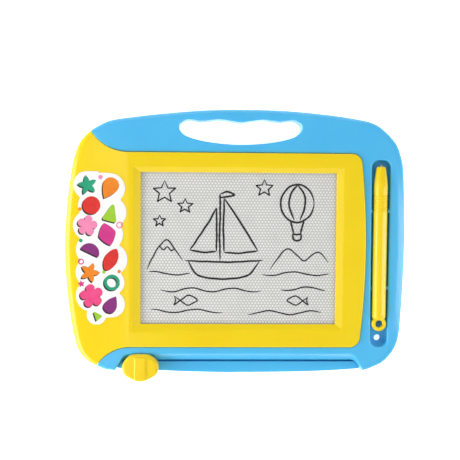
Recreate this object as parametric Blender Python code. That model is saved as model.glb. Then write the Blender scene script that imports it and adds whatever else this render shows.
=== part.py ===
"""Magnetic drawing board: a case of two shells, a framed screen, a sliding eraser and a pen.

The board lies on its back. X runs along its width, Y up the drawing, Z out of the screen.
The origin is at the middle of the footprint, on the surface that the back rests on.
"""

import math

import bpy
import numpy as np

MM = 0.001

# Outline of the case, seen from the front
BODY_WIDTH = 260.1 * MM
BODY_HEIGHT = 203.1 * MM
OUTLINE_SHARES = (
    (0.500, 0.013), (0.498, 0.128), (0.497, 0.195), (0.493, 0.285), (0.486, 0.330),
    (0.472, 0.376), (0.439, 0.423), (0.400, 0.455), (0.336, 0.472), (0.258, 0.485),
    (0.142, 0.497), (0.025, 0.500), (-0.092, 0.496), (-0.208, 0.483), (-0.298, 0.469),
    (-0.368, 0.454), (-0.418, 0.421), (-0.447, 0.388), (-0.466, 0.342), (-0.479, 0.275),
    (-0.493, 0.143), (-0.500, -0.020), (-0.494, -0.171), (-0.480, -0.307), (-0.463, -0.398),
    (-0.435, -0.445), (-0.395, -0.471), (-0.357, -0.483), (-0.204, -0.494), (-0.055, -0.500),
    (0.034, -0.500), (0.212, -0.497), (0.336, -0.489), (0.384, -0.482), (0.415, -0.468),
    (0.444, -0.448), (0.472, -0.406), (0.487, -0.353), (0.493, -0.261), (0.498, -0.123),
)

# Screen window, placed by the margins round it
WINDOW_MARGIN_LEFT = 58.05 * MM
WINDOW_MARGIN_RIGHT = 53.35 * MM
WINDOW_MARGIN_TOP = 47.8 * MM
WINDOW_MARGIN_BOTTOM = 39.7 * MM

# Walls, heights and fits of the case
FIT_GAP = 0.3 * MM
SHELL_WALL = 2.0 * MM
INNER_WALL = 1.8 * MM
REAR_DEPTH = 6.0 * MM
REAR_INSET = 0.8 * MM
REAR_EDGE_ROUND = 1.6 * MM
HOUSING_DEPTH = 10.7 * MM
EDGE_ROUND_ENDS = 3.0 * MM
EDGE_ROUND_SIDES = 7.0 * MM
EDGE_ROUND_DROP = 3.6 * MM
OVERRUN = 5.0 * MM

# Yellow frame: bands round the window and the flared left panel
FRAME_RISE = 1.5 * MM
FRAME_BAND_TOP = 15.0 * MM
FRAME_BAND_BOTTOM = 17.6 * MM
FRAME_BAND_RIGHT = 23.0 * MM
FRAME_BULGE = 3.7 * MM
FRAME_CORNER_RADIUS = 8.1 * MM
FRAME_EDGE_ROUND = 1.0 * MM
FLARE_START_TOP = 9.7 * MM
FLARE_RADIUS_TOP = 33.0 * MM
FLARE_START_BOTTOM = 7.7 * MM
FLARE_RADIUS_BOTTOM = 30.0 * MM
FLARE_TURN = math.radians(78)
PANEL_FALL_START = 10.0 * MM
PANEL_FALL_ANGLE = math.radians(5.0)
PANEL_CUT_RISE = 0.3 * MM
FRAME_SHOULDER = 1.4 * MM
BEZEL_WIDTH_SIDES = 7.3 * MM
BEZEL_WIDTH_ENDS = 5.3 * MM
BEZEL_LIP = 0.9 * MM
BEZEL_DEPTH = 2.8 * MM
BEZEL_LAND = 3.2 * MM
TAB_LENGTH = 20.4 * MM
TAB_THICKNESS = 1.5 * MM
TAB_HOOK = 0.9 * MM
TAB_HOOK_DEPTH = 1.6 * MM
TAB_TOP_SHARE = 0.9375
TAB_RIGHT_SHARE = 0.5

# Screen panel, a cell sheet between two films
FILM_THICKNESS = 0.4 * MM
CORE_THICKNESS = 2.0 * MM
SCREEN_OVERLAP = 4.0 * MM
SCREEN_CORNER = 2.5 * MM

# Grip slot in the top edge
GRIP_BAR = 7.7 * MM
GRIP_LENGTH = 92.8 * MM
GRIP_SHIFT = 1.0 * MM
GRIP_OPENING = 19.0 * MM
GRIP_SHARES = (
    (0.0, -0.500), (0.125, -0.475), (0.255, -0.405), (0.365, -0.300), (0.455, -0.140),
    (0.498, 0.090), (0.495, 0.310), (0.450, 0.460), (0.395, 0.478), (0.330, 0.425),
    (0.255, 0.455), (0.180, 0.500), (0.095, 0.450),
)

# Pen tray beside the right edge
TRAY_MARGIN_RIGHT = 19.2 * MM
TRAY_MARGIN_TOP = 37.5 * MM
TRAY_MARGIN_BOTTOM = 22.5 * MM
TRAY_WIDTH_TOP = 14.3 * MM
TRAY_WIDTH_FOOT = 12.9 * MM
TRAY_CORNER = 5.6 * MM
TRAY_DEPTH = 7.5 * MM
TRAY_EDGE_ROUND = 0.9 * MM
CORD_HOLE_RADIUS = 2.3 * MM
CORD_HOLE_RISE = 5.9 * MM
CORD_WELL_RADIUS = 4.6 * MM
TRAY_BUMP_SHARES = (0.272, 0.685)
TRAY_BUMP_RADIUS = 1.6 * MM
TRAY_BUMP_REACH = 1.4 * MM

# Bay along the lower edge, where the eraser knob runs
RIM_LAND = 5.0 * MM
BAY_END_LEFT = 11.7 * MM
BAY_END_RIGHT = 14.3 * MM
BAY_SPLAY_SHARE = 0.62
BAY_REACH = 34.0 * MM
BAY_CORNER = 6.5 * MM
BAY_END_RUN = 1.2 * MM
SLOPE_RUN = 6.1 * MM
SLOPE_FALL = 7.5 * MM
SLOPE_LEG = 1.5 * MM
SLOT_WIDTH = 1.4 * MM
LIP_RISE = 3.0 * MM
LIP_EDGE_ROUND = 0.8 * MM

# Eraser knob
KNOB_WIDTH = 27.8 * MM
KNOB_LENGTH = 21.3 * MM
KNOB_SETBACK = 0.3 * MM
KNOB_THICKNESS = 10.6 * MM
KNOB_EDGE_ROUND = 2.6 * MM
KNOB_CLEARANCE = 0.5 * MM
KNOB_BACK_AIR = 1.5 * MM
KNOB_RIB_WIDTH = 9.3 * MM
KNOB_RIB_RISE = 0.8 * MM
KNOB_RIB_START = 2.3 * MM
KNOB_RIB_INSET = 0.4 * MM
KNOB_SHARES = (
    (0.0, 0.0), (0.110, 0.014), (0.205, 0.066), (0.325, 0.145), (0.410, 0.217), (0.470, 0.310),
    (0.500, 0.455), (0.490, 0.620), (0.447, 0.725), (0.385, 0.835), (0.310, 0.920),
    (0.225, 0.982), (0.120, 1.000),
)
BLADE_LENGTH = 14.0 * MM
BLADE_THICKNESS = 0.8 * MM

# Eraser carriage, magnet strip and guide ribs
CARRIAGE_WIDTH = 12.0 * MM
CARRIAGE_DEPTH = 3.8 * MM
STRIP_WIDTH = 8.0 * MM
STRIP_DEPTH = 3.0 * MM
STRIP_AIR = 0.5 * MM
STRIP_GROOVE = 1.1 * MM
SWEEP_AIR = 2.0 * MM
STRIP_END_AIR = 0.8 * MM
RIB_WIDTH = 1.6 * MM
RIB_OFFSET_TOP = 5.5 * MM
RIB_OFFSET_SLOT = 7.6 * MM
SHOE_WALL = 1.4 * MM
SHOE_AIR = 0.6 * MM
ARM_WIDTH = 22.0 * MM
ARM_DEPTH = 3.2 * MM
ARM_REACH = 1.3 * MM

# Case screws, driven from behind
SCREW_SHANK_RADIUS = 1.3 * MM
SCREW_HEAD_RADIUS = 2.5 * MM
SCREW_HEAD_DEPTH = 1.5 * MM
SCREW_RECESS = 1.0 * MM
SCREW_BITE = 2.6 * MM
SCREW_CROSS_WIDTH = 0.7 * MM
SCREW_CROSS_DEPTH = 0.7 * MM
BOSS_RADIUS = 3.6 * MM
SCREW_PLACE_SHARES = (
    (-0.415, 0.328), (-0.269, 0.406), (0.276, 0.406), (0.413, 0.383),
    (-0.425, 0.002), (-0.405, -0.354),
)
SCREW_RIGHT_SHARES = (0.111, -0.344)

# Pen
PEN_TIP_ROOM = 2.9 * MM
PEN_FOOT_ROOM = 12.0 * MM
PEN_SIDE_ROOM = 1.15 * MM
NIB_REACH = 2.0 * MM
NIB_TIP_RADIUS = 1.1 * MM
NIB_SEAT_RADIUS = 1.8 * MM
NIB_SEAT_LENGTH = 5.0 * MM
PEN_MAGNET_RADIUS = 1.8 * MM
PEN_MAGNET_LENGTH = 7.0 * MM
PEN_EYE_RADIUS = 5.6 * MM
PEN_EYE_HOLE = 2.75 * MM
PEN_EYE_THICKNESS = 4.6 * MM
PEN_TAPER_LENGTH = 16.0 * MM
PEN_TAPER_SHARES = ((0.0, 0.54), (0.03, 0.62), (0.10, 0.70), (0.26, 0.77), (0.60, 0.91), (1.0, 1.0))
PEN_RIDGE_START = 21.0 * MM
PEN_RIDGE_PITCH = 2.2 * MM
PEN_RIDGE_COUNT = 6
PEN_RIDGE_DEPTH = 0.3 * MM
PEN_SHOULDER = 3.0 * MM

# Sticker on the left panel
STICKER_WIDTH = 38.0 * MM
STICKER_LENGTH = 116.0 * MM
STICKER_THICKNESS = 0.3 * MM
STICKER_OFFSET = 30.0 * MM
STICKER_CORNER = 14.0 * MM

# Smoothness of the curves, in steps
CURVE_STEPS = 3
ARC_STEPS = 6
ROUND_STEPS = 4
TURN_STEPS = 24
SMALL_TURN_STEPS = 14

# Levels above the surface that the back rests on
HOUSING_SEAM = REAR_DEPTH + FIT_GAP
HOUSING_TOP = HOUSING_SEAM + HOUSING_DEPTH
FRAME_TOP = HOUSING_TOP + FRAME_RISE
BEZEL_FOOT = FRAME_TOP - BEZEL_DEPTH
FRONT_FILM_TOP = BEZEL_FOOT - FIT_GAP
CORE_TOP = FRONT_FILM_TOP - FILM_THICKNESS - FIT_GAP
REAR_FILM_TOP = CORE_TOP - CORE_THICKNESS - FIT_GAP
PLATE_TOP = REAR_FILM_TOP - FILM_THICKNESS - FIT_GAP
PLATE_BOTTOM = PLATE_TOP - INNER_WALL
STRIP_TOP = REAR_FILM_TOP - FILM_THICKNESS - STRIP_AIR
STRIP_BOTTOM = STRIP_TOP - STRIP_DEPTH
CARRIAGE_TOP = STRIP_BOTTOM - FIT_GAP + STRIP_GROOVE
CARRIAGE_BOTTOM = CARRIAGE_TOP - CARRIAGE_DEPTH
RIB_TOP = CARRIAGE_BOTTOM - FIT_GAP
SLOPE_FOOT = HOUSING_TOP - SLOPE_FALL
LIP_TOP = REAR_DEPTH + LIP_RISE
LIP_UNDERSIDE = LIP_TOP - INNER_WALL
ARM_TOP = LIP_UNDERSIDE - FIT_GAP
ARM_BOTTOM = ARM_TOP - ARM_DEPTH
KNOB_BOTTOM = LIP_TOP + KNOB_CLEARANCE
KNOB_TOP = KNOB_BOTTOM + KNOB_THICKNESS
TRAY_FLOOR = HOUSING_TOP - TRAY_DEPTH
PEN_RADIUS = TRAY_WIDTH_FOOT / 2 - PEN_SIDE_ROOM
PEN_AXIS_Z = TRAY_FLOOR + FIT_GAP + PEN_RADIUS

# Places along Y, first from the middle of the case, then from the origin
RIM_FROM_MIDDLE = WINDOW_MARGIN_BOTTOM - BODY_HEIGHT / 2 - FRAME_BAND_BOTTOM - RIM_LAND
KNOB_FOOT_FROM_MIDDLE = RIM_FROM_MIDDLE - KNOB_SETBACK - KNOB_LENGTH
BODY_Y = -(BODY_HEIGHT / 2 + KNOB_FOOT_FROM_MIDDLE) / 2
BODY_TOP = BODY_Y + BODY_HEIGHT / 2
BODY_BOTTOM = BODY_Y - BODY_HEIGHT / 2
WINDOW_TOP = BODY_TOP - WINDOW_MARGIN_TOP
WINDOW_BOTTOM = BODY_BOTTOM + WINDOW_MARGIN_BOTTOM
RIM_Y = BODY_Y + RIM_FROM_MIDDLE
SLOT_TOP_Y = RIM_Y - SLOPE_RUN
SLOT_FOOT_Y = SLOT_TOP_Y - SLOT_WIDTH
SLOT_MIDDLE_Y = (SLOT_TOP_Y + SLOT_FOOT_Y) / 2
KNOB_CREST_Y = RIM_Y - KNOB_SETBACK
KNOB_FOOT_Y = KNOB_CREST_Y - KNOB_LENGTH
RIB_TOP_Y = WINDOW_TOP + RIB_OFFSET_TOP
RIB_FOOT_Y = SLOT_TOP_Y + RIB_OFFSET_SLOT
TRAY_TOP_Y = BODY_TOP - TRAY_MARGIN_TOP
TRAY_FOOT_Y = BODY_BOTTOM + TRAY_MARGIN_BOTTOM
TRAY_LENGTH = TRAY_TOP_Y - TRAY_FOOT_Y
PEN_TIP_Y = TRAY_TOP_Y - PEN_TIP_ROOM
PEN_FOOT_Y = TRAY_FOOT_Y + PEN_FOOT_ROOM
CORD_HOLE_Y = TRAY_FOOT_Y + CORD_HOLE_RISE

# Places along X
WINDOW_LEFT = WINDOW_MARGIN_LEFT - BODY_WIDTH / 2
WINDOW_RIGHT = BODY_WIDTH / 2 - WINDOW_MARGIN_RIGHT
WINDOW_MIDDLE_X = (WINDOW_LEFT + WINDOW_RIGHT) / 2
SWEEP_HALF = CARRIAGE_WIDTH / 2
SWEEP_LEFT = WINDOW_LEFT - SWEEP_HALF - SWEEP_AIR
SWEEP_RIGHT = WINDOW_RIGHT + SWEEP_HALF + SWEEP_AIR
TRAY_X = BODY_WIDTH / 2 - TRAY_MARGIN_RIGHT
TRAY_HALF_TOP = TRAY_WIDTH_TOP / 2
TRAY_HALF_FOOT = TRAY_WIDTH_FOOT / 2
SCREW_RIGHT_X = (SWEEP_RIGHT + TRAY_X - TRAY_HALF_TOP - INNER_WALL) / 2


def clear_scene():
    for item in list(bpy.data.objects):
        bpy.data.objects.remove(item, do_unlink=True)


# Curves in the plane, all running anticlockwise

def smooth_loop(points, steps=CURVE_STEPS):
    """Closed curve through the points, by the Catmull-Rom formula."""
    knots = np.array(points, dtype=float)
    before = np.roll(knots, 1, axis=0)
    after = np.roll(knots, -1, axis=0)
    beyond = np.roll(knots, -2, axis=0)
    rows = []
    for step in range(steps):
        t = step / steps
        rows.append(
            0.5 * (
                2 * knots + (after - before) * t
                + (2 * before - 5 * knots + 4 * after - beyond) * t ** 2
                + (3 * knots - before - 3 * after + beyond) * t ** 3
            )
        )
    return np.stack(rows, axis=1).reshape(-1, 2)


def outward(loop):
    """Unit normals of a loop, pointing out of it."""
    along = np.roll(loop, -1, axis=0) - np.roll(loop, 1, axis=0)
    normals = np.stack((along[:, 1], -along[:, 0]), axis=1)
    return normals / np.linalg.norm(normals, axis=1)[:, None]


def inset_loop(loop, amount):
    """A loop moved inwards along its normals, by one amount or one for each point."""
    amounts = np.broadcast_to(np.asarray(amount, dtype=float), (len(loop),))
    return loop - outward(loop) * amounts[:, None]


def arc(middle, radius, start, turn, steps=ARC_STEPS):
    angles = start + turn * np.arange(steps + 1) / steps
    return np.stack(
        (middle[0] + radius * np.cos(angles), middle[1] + radius * np.sin(angles)), axis=1
    )


def rounded_loop(corners, radius, insets=None, steps=ARC_STEPS):
    """Convex polygon with rounded corners; each side may first move inwards by its own inset."""
    corners = np.array(corners, dtype=float)
    count = len(corners)
    sides = np.roll(corners, -1, axis=0) - corners
    sides /= np.linalg.norm(sides, axis=1)[:, None]
    inward = np.stack((-sides[:, 1], sides[:, 0]), axis=1)
    moves = np.zeros(count) if insets is None else np.array(insets, dtype=float)
    starts = corners + inward * moves[:, None]
    loop = []
    for i in range(count):
        before = i - 1
        matrix = np.stack((sides[before], -sides[i]), axis=1)
        reach = np.linalg.solve(matrix, starts[i] - starts[before])[0]
        corner = starts[before] + sides[before] * reach
        turn = math.atan2(
            sides[before][0] * sides[i][1] - sides[before][1] * sides[i][0],
            float(sides[before] @ sides[i]),
        )
        setback = radius * math.tan(turn / 2)
        middle = corner - sides[before] * setback + inward[before] * radius
        start = math.atan2(-inward[before][1], -inward[before][0])
        loop.append(arc(middle, radius, start, turn, steps))
    return np.concatenate(loop)


def rectangle(left, right, foot, top):
    return np.array(((left, foot), (right, foot), (right, top), (left, top)))


def circle(x, y, radius, steps=TURN_STEPS):
    return arc((x, y), radius, 0, 2 * math.pi * (steps - 1) / steps, steps - 1)


# Outlines that more than one piece follows

BODY_LOOP = smooth_loop(
    [(x * BODY_WIDTH, BODY_Y + y * BODY_HEIGHT) for x, y in OUTLINE_SHARES]
)


def body_loop(inset=0.0):
    return inset_loop(BODY_LOOP, inset)


def rounding_widths():
    """Width of the edge rounding: narrow at the two ends of Y, broad at the sides."""
    sideways = outward(BODY_LOOP)[:, 0] ** 2
    return EDGE_ROUND_ENDS + (EDGE_ROUND_SIDES - EDGE_ROUND_ENDS) * sideways


def cavity_loop():
    """Inner face of the housing's wall, deeper at the left, where the frame wraps round it."""
    share = np.clip((-BODY_LOOP[:, 0] - WINDOW_MARGIN_LEFT) / (BODY_WIDTH / 2 - WINDOW_MARGIN_LEFT), 0, 1)
    ease = np.clip(share * 2 - 0.5, 0, 1)
    return inset_loop(BODY_LOOP, SHELL_WALL + (SHELL_WALL + FIT_GAP) * ease)


def frame_loop(grow=0.0):
    """Boundary of the yellow frame, which runs out past the case at the left."""
    top = WINDOW_TOP + FRAME_BAND_TOP
    foot = WINDOW_BOTTOM - FRAME_BAND_BOTTOM
    right = WINDOW_RIGHT + FRAME_BAND_RIGHT
    half = (top - foot) / 2
    lean = math.atan(2 * FRAME_BULGE / half)
    radius = FRAME_CORNER_RADIUS + grow
    reach = half - FRAME_CORNER_RADIUS * (1 - math.sin(lean))
    steps = np.linspace(-1, 1, ARC_STEPS + 1)[1:-1]
    edge_x = right - FRAME_BULGE
    edge = np.stack(
        (right + grow - FRAME_BULGE * steps ** 2, (top + foot) / 2 + reach * steps), axis=1
    )
    middle_x = edge_x - FRAME_CORNER_RADIUS * math.cos(lean)
    low = arc((middle_x, foot + FRAME_CORNER_RADIUS), radius, -math.pi / 2, math.pi / 2 - lean)
    high = arc((middle_x, top - FRAME_CORNER_RADIUS), radius, lean, math.pi / 2 - lean)
    flare_top = arc(
        (WINDOW_LEFT - FLARE_START_TOP, top + FLARE_RADIUS_TOP),
        FLARE_RADIUS_TOP - grow, -math.pi / 2, -FLARE_TURN,
    )
    flare_foot = arc(
        (WINDOW_LEFT - FLARE_START_BOTTOM, foot - FLARE_RADIUS_BOTTOM),
        FLARE_RADIUS_BOTTOM - grow, math.pi / 2 + FLARE_TURN, -FLARE_TURN,
    )
    far = -BODY_WIDTH / 2 - WINDOW_MARGIN_LEFT
    ends = np.array(((far, flare_top[-1][1]), (far, flare_foot[0][1])))
    return np.concatenate((low, edge, high, flare_top, ends, flare_foot))


def window_loop(sides=0.0, ends=0.0):
    """Window grown towards its left and right sides and towards its two ends on Y."""
    return rectangle(
        WINDOW_LEFT - sides, WINDOW_RIGHT + sides, WINDOW_BOTTOM - ends, WINDOW_TOP + ends
    )


def screen_opening():
    return rectangle(
        SWEEP_LEFT, SWEEP_RIGHT, WINDOW_BOTTOM - STRIP_END_AIR, WINDOW_TOP + STRIP_END_AIR
    )


def screen_loop():
    opening = screen_opening()
    return rounded_loop(
        rectangle(
            opening[0][0] - SCREEN_OVERLAP, opening[1][0] + SCREEN_OVERLAP,
            opening[0][1] - SCREEN_OVERLAP, opening[2][1] + SCREEN_OVERLAP,
        ),
        SCREEN_CORNER,
    )


def grip_loop(grow=0.0):
    """Grip slot: finger waves along its top, one long curve along its foot."""
    right = [(x, y) for x, y in GRIP_SHARES]
    crest = [(0.0, 0.385)]
    left = [(-x, y) for x, y in GRIP_SHARES[:0:-1]]
    middle_y = BODY_TOP - GRIP_BAR - GRIP_OPENING / 2
    points = [
        (WINDOW_MIDDLE_X + GRIP_SHIFT + x * GRIP_LENGTH, middle_y + y * GRIP_OPENING)
        for x, y in right + crest + left
    ]
    return inset_loop(smooth_loop(points), -grow)


def tray_corners():
    return (
        (TRAY_X - TRAY_HALF_FOOT, TRAY_FOOT_Y), (TRAY_X + TRAY_HALF_FOOT, TRAY_FOOT_Y),
        (TRAY_X + TRAY_HALF_TOP, TRAY_TOP_Y), (TRAY_X - TRAY_HALF_TOP, TRAY_TOP_Y),
    )


def tray_loop(grow=0.0):
    return rounded_loop(tray_corners(), TRAY_CORNER + grow, [-grow] * 4)


def bay_loop(drop_share, grow=0.0):
    """Bay seen from above; drop_share 0 is at its rim and 1 at the foot of its slope."""
    left = WINDOW_LEFT - BAY_END_LEFT
    right = WINDOW_RIGHT + BAY_END_RIGHT
    splay = BAY_REACH * BAY_SPLAY_SHARE
    corners = (
        (left - splay, RIM_Y - BAY_REACH), (right + splay, RIM_Y - BAY_REACH),
        (right, RIM_Y), (left, RIM_Y),
    )
    end_inset = BAY_END_RUN * drop_share - grow
    slope_inset = SLOPE_RUN * drop_share - grow
    return rounded_loop(corners, BAY_CORNER, [0, end_inset, slope_inset, end_inset])


def screw_places():
    places = [(x * BODY_WIDTH, BODY_Y + y * BODY_HEIGHT) for x, y in SCREW_PLACE_SHARES]
    places += [(SCREW_RIGHT_X, BODY_Y + y * BODY_HEIGHT) for y in SCREW_RIGHT_SHARES]
    return places


# Solids

def new_object(name, vertices, faces):
    mesh = bpy.data.meshes.new(name)
    mesh.from_pydata([tuple(map(float, v)) for v in vertices], [], faces)
    mesh.update()
    item = bpy.data.objects.new(name, mesh)
    bpy.context.collection.objects.link(item)
    return item


def loft(name, rings):
    """Closed solid through loops of equal count, each a pair of a loop and its height.

    A height is one number for the whole loop, or one for each of its points.
    """
    count = len(rings[0][0])
    vertices = []
    for loop, height in rings:
        heights = np.broadcast_to(height, count)
        vertices += [(x, y, z) for (x, y), z in zip(loop, heights)]
    faces = [tuple(reversed(range(count)))]
    for level in range(len(rings) - 1):
        low = level * count
        high = low + count
        for i in range(count):
            j = (i + 1) % count
            faces.append((low + i, low + j, high + j, high + i))
    top = (len(rings) - 1) * count
    faces.append(tuple(range(top, top + count)))
    return new_object(name, vertices, faces)


def prism(loop, foot, top, name="cutter"):
    return loft(name, ((loop, foot), (loop, top)))


def block(left, right, foot, top, low, high, name="cutter"):
    return prism(rectangle(left, right, foot, top), low, high, name)


def cylinder(x, y, radius, low, high, name="cutter", steps=TURN_STEPS):
    return prism(circle(x, y, radius, steps), low, high, name)


def section_along(axis, points, low, high, name="cutter"):
    """Solid with a section drawn out along X or Y; the points run anticlockwise, Z up.

    The section is in Y and Z and is seen from +X, or in X and Z and is seen from -Y.
    """
    count = len(points)
    if axis == "X":
        vertices = [(x, y, z) for x in (low, high) for y, z in points]
    else:
        vertices = [(x, y, z) for y in (high, low) for x, z in points]
    faces = [tuple(reversed(range(count))), tuple(range(count, 2 * count))]
    for i in range(count):
        j = (i + 1) % count
        faces.append((i, j, j + count, i + count))
    return new_object(name, vertices, faces)


def turned_along_y(name, profile, x, z, steps=TURN_STEPS):
    """Solid of revolution about an axis along Y; profile holds pairs of y and radius."""
    angles = 2 * math.pi * np.arange(steps) / steps
    vertices = []
    for y, radius in profile:
        for angle in angles:
            vertices.append((x + radius * math.cos(angle), y, z + radius * math.sin(angle)))
    faces = [tuple(range(steps))]
    for level in range(len(profile) - 1):
        low = level * steps
        high = low + steps
        for i in range(steps):
            j = (i + 1) % steps
            faces.append((low + i, high + i, high + j, low + j))
    last = (len(profile) - 1) * steps
    faces.append(tuple(reversed(range(last, last + steps))))
    if profile[0][0] > profile[-1][0]:
        faces = [tuple(reversed(face)) for face in faces]
    return new_object(name, vertices, faces)


def combine(body, tool, operation):
    """Boolean of two solids; the result stays in the first and the second is removed."""
    modifier = body.modifiers.new(operation.lower(), "BOOLEAN")
    modifier.operation = operation
    modifier.solver = "EXACT"
    modifier.object = tool
    graph = bpy.context.evaluated_depsgraph_get()
    result = bpy.data.meshes.new_from_object(body.evaluated_get(graph))
    body.modifiers.remove(modifier)
    body.data = result
    bpy.data.objects.remove(tool, do_unlink=True)
    return body


def cut(body, tool):
    return combine(body, tool, "DIFFERENCE")


def join(body, tool):
    return combine(body, tool, "UNION")


def keep_common(body, tool):
    return combine(body, tool, "INTERSECT")


def rounded_body(name, foot, top):
    """Case outline as a solid with its top edge rounded, broader at the sides."""
    widths = rounding_widths()
    rings = [(BODY_LOOP, foot)]
    for step in range(ROUND_STEPS + 1):
        angle = math.pi / 2 * step / ROUND_STEPS
        loop = inset_loop(BODY_LOOP, widths * (1 - math.cos(angle)))
        rings.append((loop, top - EDGE_ROUND_DROP * (1 - math.sin(angle))))
    return loft(name, rings)


def panel_fall(x):
    """How far the left panel lies below the frame's top at x."""
    return np.maximum(0, WINDOW_LEFT - PANEL_FALL_START - x) * math.tan(PANEL_FALL_ANGLE)


def falling_body(name, foot, top):
    """Case outline whose edge rounding goes down with the left panel, left high above it."""
    widths = rounding_widths()
    rings = [(BODY_LOOP, foot)]
    for step in range(ROUND_STEPS):
        angle = math.pi / 2 * step / ROUND_STEPS
        loop = inset_loop(BODY_LOOP, widths * (1 - math.cos(angle)))
        level = top - EDGE_ROUND_DROP * (1 - math.sin(angle))
        rings.append((loop, level - panel_fall(loop[:, 0])))
    loop = inset_loop(BODY_LOOP, widths)
    rings.append((loop, top + PANEL_CUT_RISE - panel_fall(loop[:, 0])))
    rings.append((loop, top + OVERRUN))
    return loft(name, rings)


# Materials

def linear(hex_colour):
    """Linear RGBA of an sRGB colour written as hex digits."""
    parts = [int(hex_colour[i:i + 2], 16) / 255 for i in (0, 2, 4)]
    return [c / 12.92 if c <= 0.04045 else ((c + 0.055) / 1.055) ** 2.4 for c in parts] + [1.0]


def material(name, hex_colour, roughness, metallic=0.0, alpha=1.0):
    made = bpy.data.materials.new(name)
    made.use_nodes = True
    shader = made.node_tree.nodes["Principled BSDF"]
    shader.inputs["Base Color"].default_value = linear(hex_colour)
    shader.inputs["Roughness"].default_value = roughness
    shader.inputs["Metallic"].default_value = metallic
    shader.inputs["Alpha"].default_value = alpha
    made.diffuse_color = linear(hex_colour)
    return made


def finish(item, look, parent, smooth_angle=math.radians(32)):
    """Name the mesh, dress the piece and hang it on the empty that carries it."""
    item.data.name = item.name
    item.data.materials.clear()
    item.data.materials.append(look)
    item.data.shade_smooth()
    item.data.set_sharp_from_angle(angle=smooth_angle)
    offset = parent.location.copy()
    for vertex in item.data.vertices:
        vertex.co -= offset
    item.parent = parent
    return item


def carrier(name, place):
    empty = bpy.data.objects.new(name, None)
    empty.location = place
    bpy.context.collection.objects.link(empty)
    return empty


# Sub-parts

def make_front_housing():
    """Blue front shell with the recess of the frame, the grip, the tray and the bay."""
    low = HOUSING_SEAM - OVERRUN
    high = FRAME_TOP + OVERRUN
    hollow_top = HOUSING_TOP - SHELL_WALL
    housing = rounded_body("front_housing", HOUSING_SEAM, HOUSING_TOP)

    hollow = prism(cavity_loop(), low, hollow_top, "hollow")
    cut(hollow, prism(frame_loop(FIT_GAP + INNER_WALL), PLATE_BOTTOM, high))
    cut(hollow, prism(grip_loop(INNER_WALL), low - OVERRUN, high))
    cut(hollow, prism(tray_loop(INNER_WALL), TRAY_FLOOR - INNER_WALL, high))
    bay_wall = loft("bay_wall", (
        (bay_loop(1, INNER_WALL), SLOPE_FOOT - SLOPE_LEG), (bay_loop(1, INNER_WALL), SLOPE_FOOT),
        (bay_loop(0, INNER_WALL), HOUSING_TOP), (bay_loop(0, INNER_WALL), high),
    ))
    cut(hollow, bay_wall)
    for x, y in screw_places():
        cut(hollow, cylinder(x, y, BOSS_RADIUS, HOUSING_SEAM, high, steps=SMALL_TURN_STEPS))
    cut(housing, hollow)

    recess = prism(frame_loop(FIT_GAP), low, high, "recess")
    cut(recess, prism(body_loop(SHELL_WALL + FIT_GAP), low - OVERRUN, PLATE_TOP))
    cut(housing, recess)
    opening = screen_opening()
    cut(housing, prism(opening, PLATE_BOTTOM - OVERRUN, PLATE_TOP + OVERRUN))
    cut(housing, prism(grip_loop(), low, high))
    make_tray(housing, high)
    bay = loft("bay", (
        (bay_loop(1), low), (bay_loop(1), SLOPE_FOOT), (bay_loop(0), HOUSING_TOP),
        (bay_loop(0), high),
    ))
    cut(housing, bay)
    for _, (left, right, foot, top) in tab_boxes(FIT_GAP):
        cut(housing, block(left, right, foot, top, PLATE_BOTTOM - OVERRUN, high))
    for x, y in screw_places():
        cut(housing, cylinder(
            x, y, SCREW_SHANK_RADIUS + FIT_GAP, low, screw_tip() + FIT_GAP, steps=SMALL_TURN_STEPS
        ))
    return housing


def make_tray(housing, high):
    """Pen tray with a rounded mouth, snap bumps on its long walls and a cord hole."""
    mouth = HOUSING_TOP - TRAY_EDGE_ROUND
    tray = loft("tray", (
        (tray_loop(), TRAY_FLOOR), (tray_loop(), mouth),
        (tray_loop(TRAY_EDGE_ROUND), HOUSING_TOP), (tray_loop(TRAY_EDGE_ROUND), high),
    ))
    for share in TRAY_BUMP_SHARES:
        y = TRAY_TOP_Y - share * TRAY_LENGTH
        half = TRAY_HALF_TOP + (TRAY_HALF_FOOT - TRAY_HALF_TOP) * share
        reach = TRAY_BUMP_RADIUS - TRAY_BUMP_REACH
        for side in (-1, 1):
            x = TRAY_X + side * (half + reach)
            cut(tray, cylinder(
                x, y, TRAY_BUMP_RADIUS, TRAY_FLOOR - OVERRUN, mouth, steps=SMALL_TURN_STEPS
            ))
    cut(housing, tray)
    cut(housing, cylinder(
        TRAY_X, CORD_HOLE_Y, CORD_HOLE_RADIUS, TRAY_FLOOR - OVERRUN, TRAY_FLOOR + FIT_GAP,
        steps=SMALL_TURN_STEPS,
    ))


def tab_boxes(grow=0.0):
    """Plan boxes of the frame's two snap tabs, at its top edge and its right edge.

    Each has the axis that it runs along, and its left, right, foot and top.
    """
    top = WINDOW_TOP + FRAME_BAND_TOP
    right = WINDOW_RIGHT + FRAME_BAND_RIGHT
    half = TAB_LENGTH / 2 + grow
    x = WINDOW_LEFT + TAB_TOP_SHARE * (WINDOW_RIGHT - WINDOW_LEFT)
    y = WINDOW_BOTTOM + TAB_RIGHT_SHARE * (WINDOW_TOP - WINDOW_BOTTOM)
    inner_y = top - FRAME_EDGE_ROUND - TAB_THICKNESS - grow
    inner_x = right - FRAME_EDGE_ROUND - TAB_THICKNESS - grow
    outer_y = top - FRAME_EDGE_ROUND + grow
    outer_x = right - FRAME_EDGE_ROUND + grow
    return (
        ("X", (x - half, x + half, inner_y, outer_y)),
        ("Y", (inner_x, outer_x, y - half, y + half)),
    )


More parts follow.
